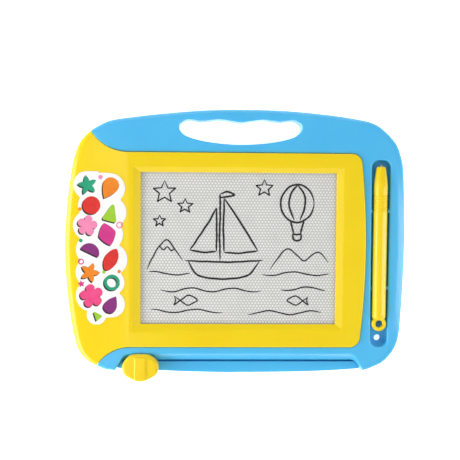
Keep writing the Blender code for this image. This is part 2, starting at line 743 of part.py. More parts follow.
def make_front_frame():
    """Yellow shell: left panel with its side wall, bands and bezel round the window."""
    low = HOUSING_SEAM - OVERRUN
    high = FRAME_TOP + OVERRUN
    frame = falling_body("front_frame", HOUSING_SEAM, FRAME_TOP)
    zone_rings = [(frame_loop(), low)]
    for step in range(ROUND_STEPS):
        angle = math.pi / 2 * step / (ROUND_STEPS - 1)
        zone_rings.append((
            frame_loop(-FRAME_EDGE_ROUND * (1 - math.cos(angle))),
            FRAME_TOP - FRAME_EDGE_ROUND * (1 - math.sin(angle)),
        ))
    zone_rings.append((frame_loop(-FRAME_EDGE_ROUND), high))
    keep_common(frame, loft("zone", zone_rings))

    cut(frame, above_frame(FRAME_TOP, high + OVERRUN))
    seat = PLATE_TOP + FIT_GAP
    cut(frame, prism(body_loop(SHELL_WALL), low, seat))
    hollow = prism(frame_loop(-INNER_WALL), seat - OVERRUN, FRAME_TOP - SHELL_WALL, "hollow")
    keep_common(hollow, prism(body_loop(SHELL_WALL + FRAME_SHOULDER), low, high))
    cut(hollow, above_frame(FRAME_TOP - SHELL_WALL, high))
    bezel = loft("bezel", (
        (window_loop(BEZEL_LAND, BEZEL_LAND), BEZEL_FOOT),
        (window_loop(BEZEL_WIDTH_SIDES + BEZEL_LIP, BEZEL_WIDTH_ENDS + BEZEL_LIP), FRAME_TOP),
    ))
    cut(hollow, bezel)
    cut(frame, hollow)
    cut(frame, loft("window", (
        (window_loop(), BEZEL_FOOT - OVERRUN), (window_loop(), BEZEL_FOOT + BEZEL_LIP),
        (window_loop(BEZEL_WIDTH_SIDES, BEZEL_WIDTH_ENDS), FRAME_TOP),
        (window_loop(BEZEL_WIDTH_SIDES, BEZEL_WIDTH_ENDS), high),
    )))
    add_snap_tabs(frame)
    return frame


def above_frame(level, high):
    """Everything above the bands, and above the left panel that falls away from them."""
    start = WINDOW_LEFT - PANEL_FALL_START
    far = -BODY_WIDTH / 2 - OVERRUN
    right = WINDOW_RIGHT + FRAME_BAND_RIGHT + OVERRUN
    points = (
        (far, level - panel_fall(far)), (start, level), (right, level), (right, high), (far, high),
    )
    return section_along("Y", points, BODY_BOTTOM - OVERRUN, BODY_TOP + OVERRUN, "above")


def add_snap_tabs(frame):
    """Tongues that pass through the housing's plate, each with a hook under it."""
    hook_top = PLATE_BOTTOM - FIT_GAP
    hook_foot = hook_top - TAB_HOOK_DEPTH
    for axis, (left, right, foot, top) in tab_boxes():
        low, high, inner, outer = (left, right, foot, top) if axis == "X" else (
            foot, top, left, right
        )
        nose = outer + FIT_GAP + TAB_HOOK
        points = [
            (inner, hook_foot), (nose, hook_foot), (nose, hook_top), (outer, hook_top),
            (outer, BEZEL_FOOT), (inner, BEZEL_FOOT),
        ]
        join(frame, section_along(axis, points, low, high, "tab"))


def make_rear_cover():
    """Blue rear shell with the lip of the bay, guide ribs, screw towers and openings."""
    deep = -OVERRUN
    high = LIP_TOP + OVERRUN
    cover = loft("rear_cover", (
        (body_loop(REAR_INSET + REAR_EDGE_ROUND), 0.0),
        (body_loop(REAR_INSET + REAR_EDGE_ROUND / 3), REAR_EDGE_ROUND / 3),
        (body_loop(REAR_INSET), REAR_EDGE_ROUND),
        (body_loop(REAR_INSET), LIP_TOP - LIP_EDGE_ROUND),
        (body_loop(REAR_INSET + LIP_EDGE_ROUND / 3), LIP_TOP - LIP_EDGE_ROUND / 3),
        (body_loop(REAR_INSET + LIP_EDGE_ROUND), LIP_TOP),
    ))
    above = block(-BODY_WIDTH, BODY_WIDTH, -BODY_HEIGHT, BODY_HEIGHT, REAR_DEPTH, high, "above")
    lip_zone = prism(bay_loop(1, -FIT_GAP), deep, high + OVERRUN, "lip_zone")
    cut(lip_zone, block(
        -BODY_WIDTH, BODY_WIDTH, SLOT_FOOT_Y, BODY_HEIGHT, deep - OVERRUN, high + 2 * OVERRUN
    ))
    cut(above, lip_zone)
    cut(cover, above)

    hollow = prism(body_loop(REAR_INSET + SHELL_WALL), INNER_WALL, LIP_UNDERSIDE, "hollow")
    cut(hollow, prism(grip_loop(INNER_WALL), deep, high))
    for y in (RIB_TOP_Y, RIB_FOOT_Y):
        cut(hollow, block(
            SWEEP_LEFT, SWEEP_RIGHT, y - RIB_WIDTH / 2, y + RIB_WIDTH / 2, deep, RIB_TOP
        ))
    for x, y in screw_places():
        cut(hollow, cylinder(x, y, BOSS_RADIUS, deep, REAR_DEPTH, steps=SMALL_TURN_STEPS))
    cord_wall = CORD_WELL_RADIUS + INNER_WALL
    cord_top = TRAY_FLOOR - INNER_WALL - FIT_GAP
    cut(hollow, cylinder(TRAY_X, CORD_HOLE_Y, cord_wall, deep, cord_top, steps=SMALL_TURN_STEPS))
    cut(cover, hollow)
    cut(cover, prism(grip_loop(), deep, high))
    cut(cover, cylinder(
        TRAY_X, CORD_HOLE_Y, CORD_WELL_RADIUS, deep, high, steps=SMALL_TURN_STEPS
    ))
    for x, y in screw_places():
        cut(cover, cylinder(
            x, y, SCREW_HEAD_RADIUS + FIT_GAP, deep, screw_seat(), steps=SMALL_TURN_STEPS
        ))
        cut(cover, cylinder(
            x, y, SCREW_SHANK_RADIUS + FIT_GAP, deep, high, steps=SMALL_TURN_STEPS
        ))
    return cover


def screw_seat():
    return SCREW_RECESS + SCREW_HEAD_DEPTH + FIT_GAP


def screw_tip():
    return HOUSING_SEAM + SCREW_BITE


def make_screw(name, x, y):
    """Pan-head screw with a cross recess, its head sunk in the rear cover."""
    half = SCREW_CROSS_WIDTH / 2
    reach = SCREW_HEAD_RADIUS - SCREW_CROSS_DEPTH
    head = SCREW_RECESS + SCREW_HEAD_DEPTH
    screw = loft(name, (
        (circle(x, y, SCREW_HEAD_RADIUS - SCREW_CROSS_WIDTH, SMALL_TURN_STEPS), SCREW_RECESS),
        (circle(x, y, SCREW_HEAD_RADIUS, SMALL_TURN_STEPS), SCREW_RECESS + SCREW_CROSS_WIDTH),
        (circle(x, y, SCREW_HEAD_RADIUS, SMALL_TURN_STEPS), head),
        (circle(x, y, SCREW_SHANK_RADIUS, SMALL_TURN_STEPS), head),
        (circle(x, y, SCREW_SHANK_RADIUS, SMALL_TURN_STEPS), screw_tip() - SCREW_SHANK_RADIUS),
        (circle(x, y, SCREW_SHANK_RADIUS / 2, SMALL_TURN_STEPS), screw_tip()),
    ))
    recess_top = SCREW_RECESS + SCREW_CROSS_DEPTH
    cross = block(x - reach, x + reach, y - half, y + half, 0.0, recess_top)
    join(cross, block(x - half, x + half, y - reach, y + reach, 0.0, recess_top))
    return cut(screw, cross)


def make_screen_layer(name, top, thickness):
    return prism(screen_loop(), top - thickness, top, name)


def make_sticker():
    """Label with rounded ends, lying on the sloping left panel."""
    middle_x = WINDOW_LEFT - STICKER_OFFSET
    middle_y = (WINDOW_TOP + WINDOW_BOTTOM) / 2
    loop = rounded_loop(
        rectangle(
            middle_x - STICKER_WIDTH / 2, middle_x + STICKER_WIDTH / 2,
            middle_y - STICKER_LENGTH / 2, middle_y + STICKER_LENGTH / 2,
        ),
        STICKER_CORNER,
    )
    fall = -panel_fall(loop[:, 0])
    count = len(loop)
    foot = FRAME_TOP + FIT_GAP
    vertices = [(x, y, foot + dz) for (x, y), dz in zip(loop, fall)]
    vertices += [(x, y, foot + STICKER_THICKNESS + dz) for (x, y), dz in zip(loop, fall)]
    faces = [tuple(reversed(range(count))), tuple(range(count, 2 * count))]
    for i in range(count):
        j = (i + 1) % count
        faces.append((i, j, j + count, i + count))
    return new_object("sticker", vertices, faces)


def knob_loop(inset=0.0):
    """Knob seen from above, at the left end of its travel."""
    right = [(x, y) for x, y in KNOB_SHARES]
    left = [(-x, y) for x, y in KNOB_SHARES[:0:-1]]
    points = [
        (WINDOW_LEFT + x * KNOB_WIDTH, KNOB_FOOT_Y + y * KNOB_LENGTH) for x, y in right + left
    ]
    return inset_loop(smooth_loop(points, 2), inset)


def make_knob():
    """Thumb knob with a raised rib, a sloping back and the blade that enters the slot."""
    rings = [(knob_loop(KNOB_EDGE_ROUND / 3), KNOB_BOTTOM)]
    rings.append((knob_loop(), KNOB_BOTTOM + KNOB_EDGE_ROUND / 3))
    for step in range(ROUND_STEPS + 1):
        angle = math.pi / 2 * step / ROUND_STEPS
        rings.append((
            knob_loop(KNOB_EDGE_ROUND * (1 - math.cos(angle))),
            KNOB_TOP - KNOB_EDGE_ROUND * (1 - math.sin(angle)),
        ))
    knob = loft("eraser_knob", rings)
    half = KNOB_RIB_WIDTH / 2
    rib_top = KNOB_TOP + KNOB_RIB_RISE
    rib = block(
        WINDOW_LEFT - half, WINDOW_LEFT + half, KNOB_FOOT_Y - OVERRUN, KNOB_CREST_Y - KNOB_RIB_START,
        KNOB_BOTTOM + KNOB_EDGE_ROUND, rib_top, "rib",
    )
    envelope = loft("envelope", (
        (knob_loop(KNOB_RIB_INSET), KNOB_BOTTOM),
        (knob_loop(KNOB_RIB_INSET), rib_top - KNOB_EDGE_ROUND),
        (knob_loop(KNOB_RIB_INSET + KNOB_EDGE_ROUND / 3), rib_top - KNOB_EDGE_ROUND / 3),
        (knob_loop(KNOB_RIB_INSET + KNOB_EDGE_ROUND), rib_top),
    ))
    keep_common(rib, envelope)
    join(knob, rib)
    slope = SLOPE_FALL / SLOPE_RUN
    foot_y = SLOT_TOP_Y - KNOB_BACK_AIR
    run_out = HOUSING_TOP + KNOB_CLEARANCE
    back = section_along(
        "X",
        (
            (foot_y, SLOPE_FOOT - OVERRUN), (KNOB_CREST_Y + OVERRUN, SLOPE_FOOT - OVERRUN),
            (KNOB_CREST_Y + OVERRUN, run_out), (foot_y + (run_out - SLOPE_FOOT) / slope, run_out),
            (foot_y, SLOPE_FOOT),
        ),
        WINDOW_LEFT - KNOB_WIDTH, WINDOW_LEFT + KNOB_WIDTH,
    )
    cut(knob, back)
    blade = block(
        WINDOW_LEFT - BLADE_LENGTH / 2, WINDOW_LEFT + BLADE_LENGTH / 2,
        SLOT_MIDDLE_Y - BLADE_THICKNESS / 2, SLOT_MIDDLE_Y + BLADE_THICKNESS / 2,
        ARM_BOTTOM + FIT_GAP, KNOB_BOTTOM + KNOB_EDGE_ROUND, "blade",
    )
    return join(knob, blade)


def make_carriage():
    """Bar behind the screen with a groove for the strip, shoes over the ribs and an arm."""
    half = CARRIAGE_WIDTH / 2
    reach = RIB_WIDTH / 2 + FIT_GAP + SHOE_WALL
    x = WINDOW_LEFT
    bar = block(
        x - half, x + half, RIB_FOOT_Y - reach, RIB_TOP_Y + reach, CARRIAGE_BOTTOM, CARRIAGE_TOP,
        "eraser_carriage",
    )
    shoe_foot = INNER_WALL + SHOE_AIR
    for y in (RIB_TOP_Y, RIB_FOOT_Y):
        shoe = block(
            x - half, x + half, y - reach, y + reach, shoe_foot, CARRIAGE_BOTTOM + FIT_GAP, "shoe"
        )
        gap = RIB_WIDTH / 2 + FIT_GAP
        cut(shoe, block(
            x - half - OVERRUN, x + half + OVERRUN, y - gap, y + gap, 0.0, CARRIAGE_BOTTOM
        ))
        join(bar, shoe)
    arm_half = ARM_WIDTH / 2
    arm = block(
        x - arm_half, x + arm_half, SLOT_FOOT_Y - ARM_REACH, RIB_FOOT_Y - reach + SHOE_WALL / 2,
        ARM_BOTTOM, ARM_TOP, "arm",
    )
    join(bar, arm)
    slot_half = BLADE_LENGTH / 2 + FIT_GAP
    slot_side = BLADE_THICKNESS / 2 + FIT_GAP
    cut(bar, block(
        x - slot_half, x + slot_half, SLOT_MIDDLE_Y - slot_side, SLOT_MIDDLE_Y + slot_side,
        0.0, ARM_TOP + OVERRUN,
    ))
    groove = STRIP_WIDTH / 2 + FIT_GAP
    cut(bar, block(
        x - groove, x + groove, WINDOW_BOTTOM - FIT_GAP, WINDOW_TOP + FIT_GAP,
        STRIP_BOTTOM - FIT_GAP, CARRIAGE_TOP + OVERRUN,
    ))
    return bar


def make_magnet_strip():
    half = STRIP_WIDTH / 2
    return block(
        WINDOW_LEFT - half, WINDOW_LEFT + half, WINDOW_BOTTOM, WINDOW_TOP,
        STRIP_BOTTOM, STRIP_TOP, "eraser_magnet_strip",
    )


def make_pen_barrel():
    """Pen body: tapered nose, grip ridges, long shank, flat eye; bored for nib and magnet."""
    nose = PEN_TIP_Y - NIB_REACH
    profile = [
        (nose - PEN_TAPER_LENGTH * along, PEN_RADIUS * wide) for along, wide in PEN_TAPER_SHARES
    ]
    for ridge in range(PEN_RIDGE_COUNT):
        y = nose - PEN_RIDGE_START - ridge * PEN_RIDGE_PITCH
        profile.append((y, PEN_RADIUS))
        profile.append((y - PEN_RIDGE_PITCH / 2, PEN_RADIUS - PEN_RIDGE_DEPTH))
    profile.append((nose - PEN_RIDGE_START - PEN_RIDGE_COUNT * PEN_RIDGE_PITCH, PEN_RADIUS))
    eye_y = PEN_FOOT_Y + PEN_EYE_RADIUS
    shank_end = eye_y + PEN_EYE_HOLE
    profile.append((shank_end + PEN_SHOULDER, PEN_RADIUS))
    profile.append((shank_end + PEN_SHOULDER / 3, PEN_EYE_THICKNESS / 2 + PEN_SHOULDER / 3))
    profile.append((shank_end, PEN_EYE_THICKNESS / 2))
    barrel = turned_along_y("pen_barrel", profile, TRAY_X, PEN_AXIS_Z)
    half = PEN_EYE_THICKNESS / 2
    join(barrel, cylinder(TRAY_X, eye_y, PEN_EYE_RADIUS, PEN_AXIS_Z - half, PEN_AXIS_Z + half, "eye"))
    cut(barrel, cylinder(
        TRAY_X, eye_y, PEN_EYE_HOLE, PEN_AXIS_Z - PEN_RADIUS, PEN_AXIS_Z + PEN_RADIUS,
        steps=SMALL_TURN_STEPS,
    ))
    bore_end = nose - NIB_SEAT_LENGTH - PEN_MAGNET_LENGTH - FIT_GAP * 2
    bore = NIB_SEAT_RADIUS + FIT_GAP
    cut(barrel, turned_along_y(
        "bore", [(nose + OVERRUN, bore), (bore_end, bore)], TRAY_X, PEN_AXIS_Z, SMALL_TURN_STEPS
    ))
    return barrel


def make_pen_nib():
    nose = PEN_TIP_Y - NIB_REACH
    profile = [
        (PEN_TIP_Y, NIB_TIP_RADIUS / 2), (PEN_TIP_Y - NIB_TIP_RADIUS / 2, NIB_TIP_RADIUS),
        (nose, NIB_TIP_RADIUS), (nose, NIB_SEAT_RADIUS), (nose - NIB_SEAT_LENGTH, NIB_SEAT_RADIUS),
    ]
    return turned_along_y("pen_nib", profile, TRAY_X, PEN_AXIS_Z, SMALL_TURN_STEPS)


def make_pen_magnet():
    top = PEN_TIP_Y - NIB_REACH - NIB_SEAT_LENGTH - FIT_GAP
    profile = [(top, PEN_MAGNET_RADIUS), (top - PEN_MAGNET_LENGTH, PEN_MAGNET_RADIUS)]
    return turned_along_y("pen_magnet", profile, TRAY_X, PEN_AXIS_Z, SMALL_TURN_STEPS)


def main():
    clear_scene()
    blue = material("blue_abs", "5BBCEA", 0.35)
    yellow = material("yellow_abs", "FADB2A", 0.35)
    film = material("clear_pet_film", "E6E6E0", 0.25, alpha=0.35)
    cells = material("cell_sheet", "D8D8D3", 0.6)
    vinyl = material("printed_vinyl", "F6F4F2", 0.4)
    steel = material("bright_steel", "B8BCC0", 0.3, metallic=1.0)
    zinc = material("zinc_plated_steel", "A9ADB2", 0.35, metallic=1.0)
    ferrite = material("ferrite_magnet", "2E2C2B", 0.6)
    white = material("white_abs", "E9E9E4", 0.45)

    case = carrier("case_origin", (0.0, 0.0, 0.0))
    eraser = carrier("eraser_axis", (WINDOW_LEFT, SLOT_MIDDLE_Y, LIP_TOP))
    pen = carrier("pen_axis", (TRAY_X, (PEN_TIP_Y + PEN_FOOT_Y) / 2, PEN_AXIS_Z))

    finish(make_front_housing(), blue, case)
    finish(make_rear_cover(), blue, case)
    finish(make_front_frame(), yellow, case)
    finish(make_screen_layer("screen_front_film", FRONT_FILM_TOP, FILM_THICKNESS), film, case)
    finish(make_screen_layer("screen_honeycomb_core", CORE_TOP, CORE_THICKNESS), cells, case)
    finish(make_screen_layer("screen_rear_film", REAR_FILM_TOP, FILM_THICKNESS), film, case)
    finish(make_sticker(), vinyl, case)
    for number, (x, y) in enumerate(screw_places(), start=1):
        finish(make_screw(f"case_screw_{number}", x, y), zinc, case)
    finish(make_knob(), yellow, eraser)
    finish(make_carriage(), white, eraser)
    finish(make_magnet_strip(), ferrite, eraser)
    finish(make_pen_barrel(), yellow, pen)
    finish(make_pen_nib(), steel, pen)
    finish(make_pen_magnet(), ferrite, pen)
    bpy.context.view_layer.update()


main()
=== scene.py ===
"""Looks of the magnetic drawing board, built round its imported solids.

Every size here is in millimetres, and MM turns it to metres where something is made of it.
X runs along the board's width, Y up the drawing and Z out of the screen.
"""

import logging
import math
from collections.abc import Callable, Sequence
from dataclasses import dataclass, field
from enum import Enum

import bpy
import numpy as np
from mathutils import Euler, Matrix, Vector


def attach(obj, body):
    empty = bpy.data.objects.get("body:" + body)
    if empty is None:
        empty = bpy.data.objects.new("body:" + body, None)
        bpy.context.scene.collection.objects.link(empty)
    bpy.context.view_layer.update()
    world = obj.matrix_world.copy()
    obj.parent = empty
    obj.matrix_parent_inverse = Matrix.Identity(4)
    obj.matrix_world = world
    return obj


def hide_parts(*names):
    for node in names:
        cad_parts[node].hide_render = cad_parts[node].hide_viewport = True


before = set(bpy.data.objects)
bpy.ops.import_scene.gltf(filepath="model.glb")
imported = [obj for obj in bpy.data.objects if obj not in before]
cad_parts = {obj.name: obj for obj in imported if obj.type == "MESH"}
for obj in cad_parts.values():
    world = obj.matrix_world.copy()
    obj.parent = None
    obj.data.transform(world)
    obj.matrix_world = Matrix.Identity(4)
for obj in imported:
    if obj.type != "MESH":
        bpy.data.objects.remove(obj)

LOG = logging.getLogger("drawing_board")
MM = 0.001
# A level above every piece, where cutters end
HIGH = 30.0

Loop = np.ndarray
Rings = list[tuple[np.ndarray, float | np.ndarray]]
Point = tuple[float, float]
Triple = tuple[float, float, float]
Piece = bpy.types.Object
Look = bpy.types.Material
Tree = bpy.types.NodeTree
Node = bpy.types.Node
Socket = bpy.types.NodeSocket


class Body(Enum):
    """Bodies of the part that the pieces ride on."""

    CASE = "case"
    ERASER = "eraser"
    PEN = "pen"


class Slot(Enum):
    """Material slots of the record, each listed with one of the new pieces."""

    BLUE = "blue_abs"
    YELLOW = "yellow_abs"
    CELLS = "cell_sheet"
    VINYL = "printed_vinyl"


class Operation(Enum):
    """Ways of combining two solids."""

    CUT = "DIFFERENCE"
    JOIN = "UNION"
    COMMON = "INTERSECT"


# Curves in the plane, as arrays of points that run anticlockwise


def smooth_loop(knots: Sequence[Point], steps: int) -> Loop:
    """Closed curve through knots by the Catmull-Rom formula.

    Each span is half of (2 K0 + (K1 - K-1) t + (2 K-1 - 5 K0 + 4 K1 - K2) t squared
    + (3 K0 - K-1 - 3 K1 + K2) t cubed), for t from 0 to 1.

    Args:
        knots: the points that the curve passes through.
        steps: the points made in each span.

    Returns:
        The points of the curve.
    """
    here = np.array(knots, dtype=float)[:, None, :]
    before, after, beyond = (np.roll(here, turn, axis=0) for turn in (1, -1, -2))
    t = (np.arange(steps) / steps)[None, :, None]
    curve = 0.5 * (
        2 * here + (after - before) * t
        + (2 * before - 5 * here + 4 * after - beyond) * t**2
        + (3 * here - before - 3 * after + beyond) * t**3
    )
    return curve.reshape(-1, 2)


def outward(loop: Loop) -> np.ndarray:
    """Unit normals of a loop: the chord of the two neighbours turned a quarter to the right.

    Args:
        loop: the points, anticlockwise.

    Returns:
        The normal at each of them.
    """
    along = np.roll(loop, -1, axis=0) - np.roll(loop, 1, axis=0)
    normals = np.stack((along[:, 1], -along[:, 0]), axis=1)
    return normals / np.linalg.norm(normals, axis=1)[:, None]


def inset(loop: Loop, amount: float | np.ndarray) -> Loop:
    """Loop moved inwards along its normals, by one amount or by one for each point."""
    return loop - outward(loop) * np.broadcast_to(amount, (len(loop),))[:, None]


def arc(middle: Point, radius: float, start: float, turn: float, steps: int) -> Loop:
    """Points on a circle from the angle start through turn, at middle + radius (cos, sin)."""
    angles = start + turn * np.arange(steps + 1) / steps
    return np.stack(
        (middle[0] + radius * np.cos(angles), middle[1] + radius * np.sin(angles)), axis=1
    )


def circle(x: float, y: float, radius: float, steps: int) -> Loop:
    """Full circle without its last point twice."""
    return arc((x, y), radius, 0, 2 * math.pi, steps)[:-1]


def rectangle(left: float, right: float, foot: float, top: float) -> Loop:
    """Four corners of a rectangle."""
    return np.array(((left, foot), (right, foot), (right, top), (left, top)))


def rounded(corners: Sequence, radius: float, insets: Sequence[float], steps: int) -> Loop:
    """Convex polygon whose sides move inwards and whose corners become arcs.

    A corner is where its two moved sides cross, and its arc touches both of them.

    Args:
        corners: the corners of the polygon.
        radius: the radius of every arc.
        insets: how far each side moves inwards first.
        steps: the steps in each arc.

    Returns:
        The points of the rounded polygon.
    """
    points = np.array(corners, dtype=float)
    sides = np.roll(points, -1, axis=0) - points
    sides /= np.linalg.norm(sides, axis=1)[:, None]
    inward = np.stack((-sides[:, 1], sides[:, 0]), axis=1)
    starts = points + inward * np.array(insets, dtype=float)[:, None]
    arcs = []
    for i in range(len(points)):
        before, here = sides[i - 1], sides[i]
        reach = np.linalg.solve(np.stack((before, -here), axis=1), starts[i] - starts[i - 1])[0]
        corner = starts[i - 1] + before * reach
        turn = math.atan2(before[0] * here[1] - before[1] * here[0], float(before @ here))
        middle = corner - before * radius * math.tan(turn / 2) + inward[i - 1] * radius
        start = math.atan2(-inward[i - 1][1], -inward[i - 1][0])
        arcs.append(arc(tuple(middle), radius, start, turn, steps))
    return np.concatenate(arcs)


# Solids


def mesh_piece(name: str, points: np.ndarray, faces: list[list[int]]) -> Piece:
    """Mesh object whose place is in its mesh, with the object itself at the origin.

    Args:
        name: the name of the object and of its mesh.
        points: its points, in millimetres.
        faces: the numbers of the points round each face.

    Returns:
        The object, in metres.
    """
    mesh = bpy.data.meshes.new(name)
    mesh.from_pydata((np.asarray(points, dtype=float) * MM).tolist(), [], faces)
    mesh.update()
    piece = bpy.data.objects.new(name, mesh)
    bpy.context.scene.collection.objects.link(piece)
    return piece


def tube_faces(levels: int, count: int, start: int = 0) -> list[list[int]]:
    """Quads between neighbouring closed rings of equal count, and a cap at each end.

    Args:
        levels: how many rings there are, lowest first.
        count: the points in each ring.
        start: the number of the first point.

    Returns:
        The faces, the caps last.
    """
    row = start + (np.arange(levels - 1) * count)[:, None]
    here, beside = row + np.arange(count), row + (np.arange(count) + 1) % count
    quads = np.stack((here, beside, beside + count, here + count), axis=-1).reshape(-1, 4)
    top = start + (levels - 1) * count
    return [*quads.tolist(), list(range(start, start + count))[::-1], list(range(top, top + count))]


def ring_solid(name: str, rings: Rings) -> Piece:
    """Closed solid from loops of equal count, lowest first, its first and last loop filled.

    Args:
        name: the name of the object.
        rings: pairs of a loop and its height, which may be one for each point.

    Returns:
        The solid.
    """
    count = len(rings[0][0])
    points = [np.column_stack((loop, np.broadcast_to(height, count))) for loop, height in rings]
    return mesh_piece(name, np.concatenate(points), tube_faces(len(rings), count))


def prism(loop: Loop, low: float, high: float, name: str = "tool") -> Piece:
    """Upright solid on one loop."""
    return ring_solid(name, [(loop, low), (loop, high)])


def section_solid(name: str, section: np.ndarray, axis: str, low: float, high: float) -> Piece:
    """Solid with one section drawn out along X or along Y.

    Args:
        name: the name of the object.
        section: pairs of (y, z) seen from +X, or of (x, z) seen from -Y, anticlockwise.
        axis: "X" or "Y".
        low: where the solid starts on the axis.
        high: where it ends.

    Returns:
        The solid.
    """
    column, ends = (0, (low, high)) if axis == "X" else (1, (high, low))
    rings = [np.insert(section, column, end, axis=1) for end in ends]
    return mesh_piece(name, np.concatenate(rings), tube_faces(2, len(section)))


def turned(name: str, profile: np.ndarray, x: float, z: float, steps: int) -> Piece:
    """Solid of revolution about a line along Y.

    A point is (x + r cos a, y, z + r sin a) for each (y, r) of the profile and angle a.

    Args:
        name: the name of the object.
        profile: pairs of y and radius, y falling along it.
        x: where the line is on X.
        z: where the line is on Z.
        steps: the steps round the line.

    Returns:
        The solid, its two ends filled.
    """
    angles = 2 * np.pi * np.arange(steps) / steps
    y, radius = profile.T[:, :, None]
    place = np.broadcast_arrays(x + radius * np.cos(angles), y, z + radius * np.sin(angles))
    return mesh_piece(name, np.stack(place, axis=-1).reshape(-1, 3), tube_faces(len(y), steps))


def combine(body: Piece, operation: Operation, *tools: Piece) -> Piece:
    """Exact booleans, one tool after the other; the tools are removed.

    Args:
        body: the solid that is worked on.
        operation: what each tool does to it.
        tools: the other solids.

    Returns:
        The body with its new mesh.
    """
    for tool in tools:
        made = body.modifiers.new(operation.name, "BOOLEAN")
        made.operation, made.solver, made.object = operation.value, "EXACT", tool
    graph = bpy.context.evaluated_depsgraph_get()
    result = bpy.data.meshes.new_from_object(body.evaluated_get(graph))
    body.modifiers.clear()
    body.data = result
    body.data.name = body.name
    for tool in tools:
        bpy.data.objects.remove(tool, do_unlink=True)
    return body


def cut(body: Piece, *tools: Piece) -> Piece:
    """Body with every tool cut out of it."""
    return combine(body, Operation.CUT, *tools)


def quarter(steps: int) -> np.ndarray:
    """Angles of a quarter turn, in equal steps."""
    return np.linspace(0, np.pi / 2, steps + 1)


def foot_round(loop_at: Callable[[float], Loop], foot: float, radius: float, steps: int) -> Rings:
    """Quarter round on a foot: r (1 - cos a) above it, the loop is moved by r (1 - sin a)."""
    return [
        (loop_at(radius * (1 - math.sin(a))), foot + radius * (1 - math.cos(a)))
        for a in quarter(steps)
    ]


def head_round(loop_at: Callable[[float], Loop], top: float, radius: float, steps: int) -> Rings:
    """Quarter round under a top: r (1 - sin a) below it, the loop is moved by r (1 - cos a)."""
    return [
        (loop_at(radius * (1 - math.cos(a))), top - radius * (1 - math.sin(a)))
        for a in quarter(steps)
    ]


def flared(loop_at: Callable[[float], Loop], low: float, top: float, radius: float,
           steps: int = 6) -> Rings:
    """Rings of a tool that leaves a quarter round where its sides meet a face.

    Args:
        loop_at: gives the loop of the tool, moved by an amount.
        low: where the tool starts.
        top: the level of the face.
        radius: the radius of the quarter round.
        steps: the steps in it.

    Returns:
        The rings of the tool, which ends well above the face.
    """
    return [(loop_at(0.0), low), *head_round(loop_at, top, radius, steps), (loop_at(radius), HIGH)]


def dress(piece: Piece, looks: "Look | list[Look]", body: Body, slot: Slot,
          stands_for: str | None = None, crease: float = 30.0) -> None:
    """Gives a finished mesh its material, its smooth shading and the body that it rides on.

    Args:
        piece: the finished mesh object.
        looks: its material, or several in the order of their indices.
        body: the body that carries it.
        slot: the record's material slot; not used.
        stands_for: the CAD node that it replaces, if it replaces one.
        crease: the angle in degrees past which an edge stays sharp.
    """
    if not isinstance(looks, list):
        piece.data.materials.clear()
        looks = [looks]
    for look in looks:
        piece.data.materials.append(look)
    piece.data.shade_smooth()
    piece.data.set_sharp_from_angle(angle=math.radians(crease))
    even = piece.modifiers.new("even_normals", "WEIGHTED_NORMAL")
    even.keep_sharp = True
    even.weight = 100
    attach(piece, body.value)
    if stands_for:
        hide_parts(stands_for)
    LOG.info("%s: %d faces on %s", piece.name, len(piece.data.polygons), body.value)


def dress_nodes(look: Look, *names: str) -> None:
    """Gives solids of the frame their material and leaves the rest of them as it is.

    Args:
        look: the material.
        names: the CAD nodes.
    """
    for name in names:
        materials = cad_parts[name].data.materials
        materials.clear()
        materials.append(look)
        LOG.info("%s: dressed", name)


# Materials


def linear(hex_colour: str) -> tuple[float, float, float, float]:
    """Linear colour of an sRGB hex value: the usual curve, c / 12.92 below 0.04045.

    Args:
        hex_colour: six hex digits.

    Returns:
        Red, green, blue and a full alpha.
    """
    parts = [int(hex_colour[i:i + 2], 16) / 255 for i in (0, 2, 4)]
    red, green, blue = (c / 12.92 if c <= 0.04045 else ((c + 0.055) / 1.055) ** 2.4 for c in parts)
    return red, green, blue, 1.0


def colours(low: str, high: str) -> dict:
    """Settings of a Mix node that goes from one hex colour to another."""
    return {"data_type": "RGBA", 6: linear(low), 7: linear(high)}


def settle(tree: Tree, node: Node, settings: dict, links: dict) -> None:
    """Settings and links of one node.

    Args:
        tree: the tree that the node is in.
        node: the node.
        settings: properties of the node, or values of its inputs by name or number.
        links: what feeds its inputs, by name or number: a socket, or a node's first output.
    """
    for key, value in settings.items():
        if isinstance(key, str) and hasattr(node, key):
            setattr(node, key, value)
        else:
            node.inputs[key].default_value = value
    for key, source in links.items():
        socket = source.outputs[0] if isinstance(source, Node) else source
        tree.links.new(socket, node.inputs[key])


def add_node(tree: Tree, kind: str, settings: dict | None = None, links: dict | None = None) -> Node:
    """Adds one node to a tree.

    By number, a Mix has its factor at 0 and its colours at 6 and 7, and a MapRange has its
    value at 0 and the ends of its two ranges at 1 to 4.

    Args:
        tree: the tree.
        kind: the node's type name, without "ShaderNode".
        settings: its settings, as settle takes them.
        links: its links, as settle takes them.

    Returns:
        The node.
    """
    node = tree.nodes.new("ShaderNode" + kind)
    settle(tree, node, settings or {}, links or {})
    return node


def new_look(name: str) -> tuple[Look, Tree, Node]:
    """New material with its tree and its principled shader.

    Args:
        name: the name of the material.

    Returns:
        The material, its tree and its shader.
    """
    look = bpy.data.materials.new(name)
    look.use_nodes = True
    return look, look.node_tree, look.node_tree.nodes["Principled BSDF"]


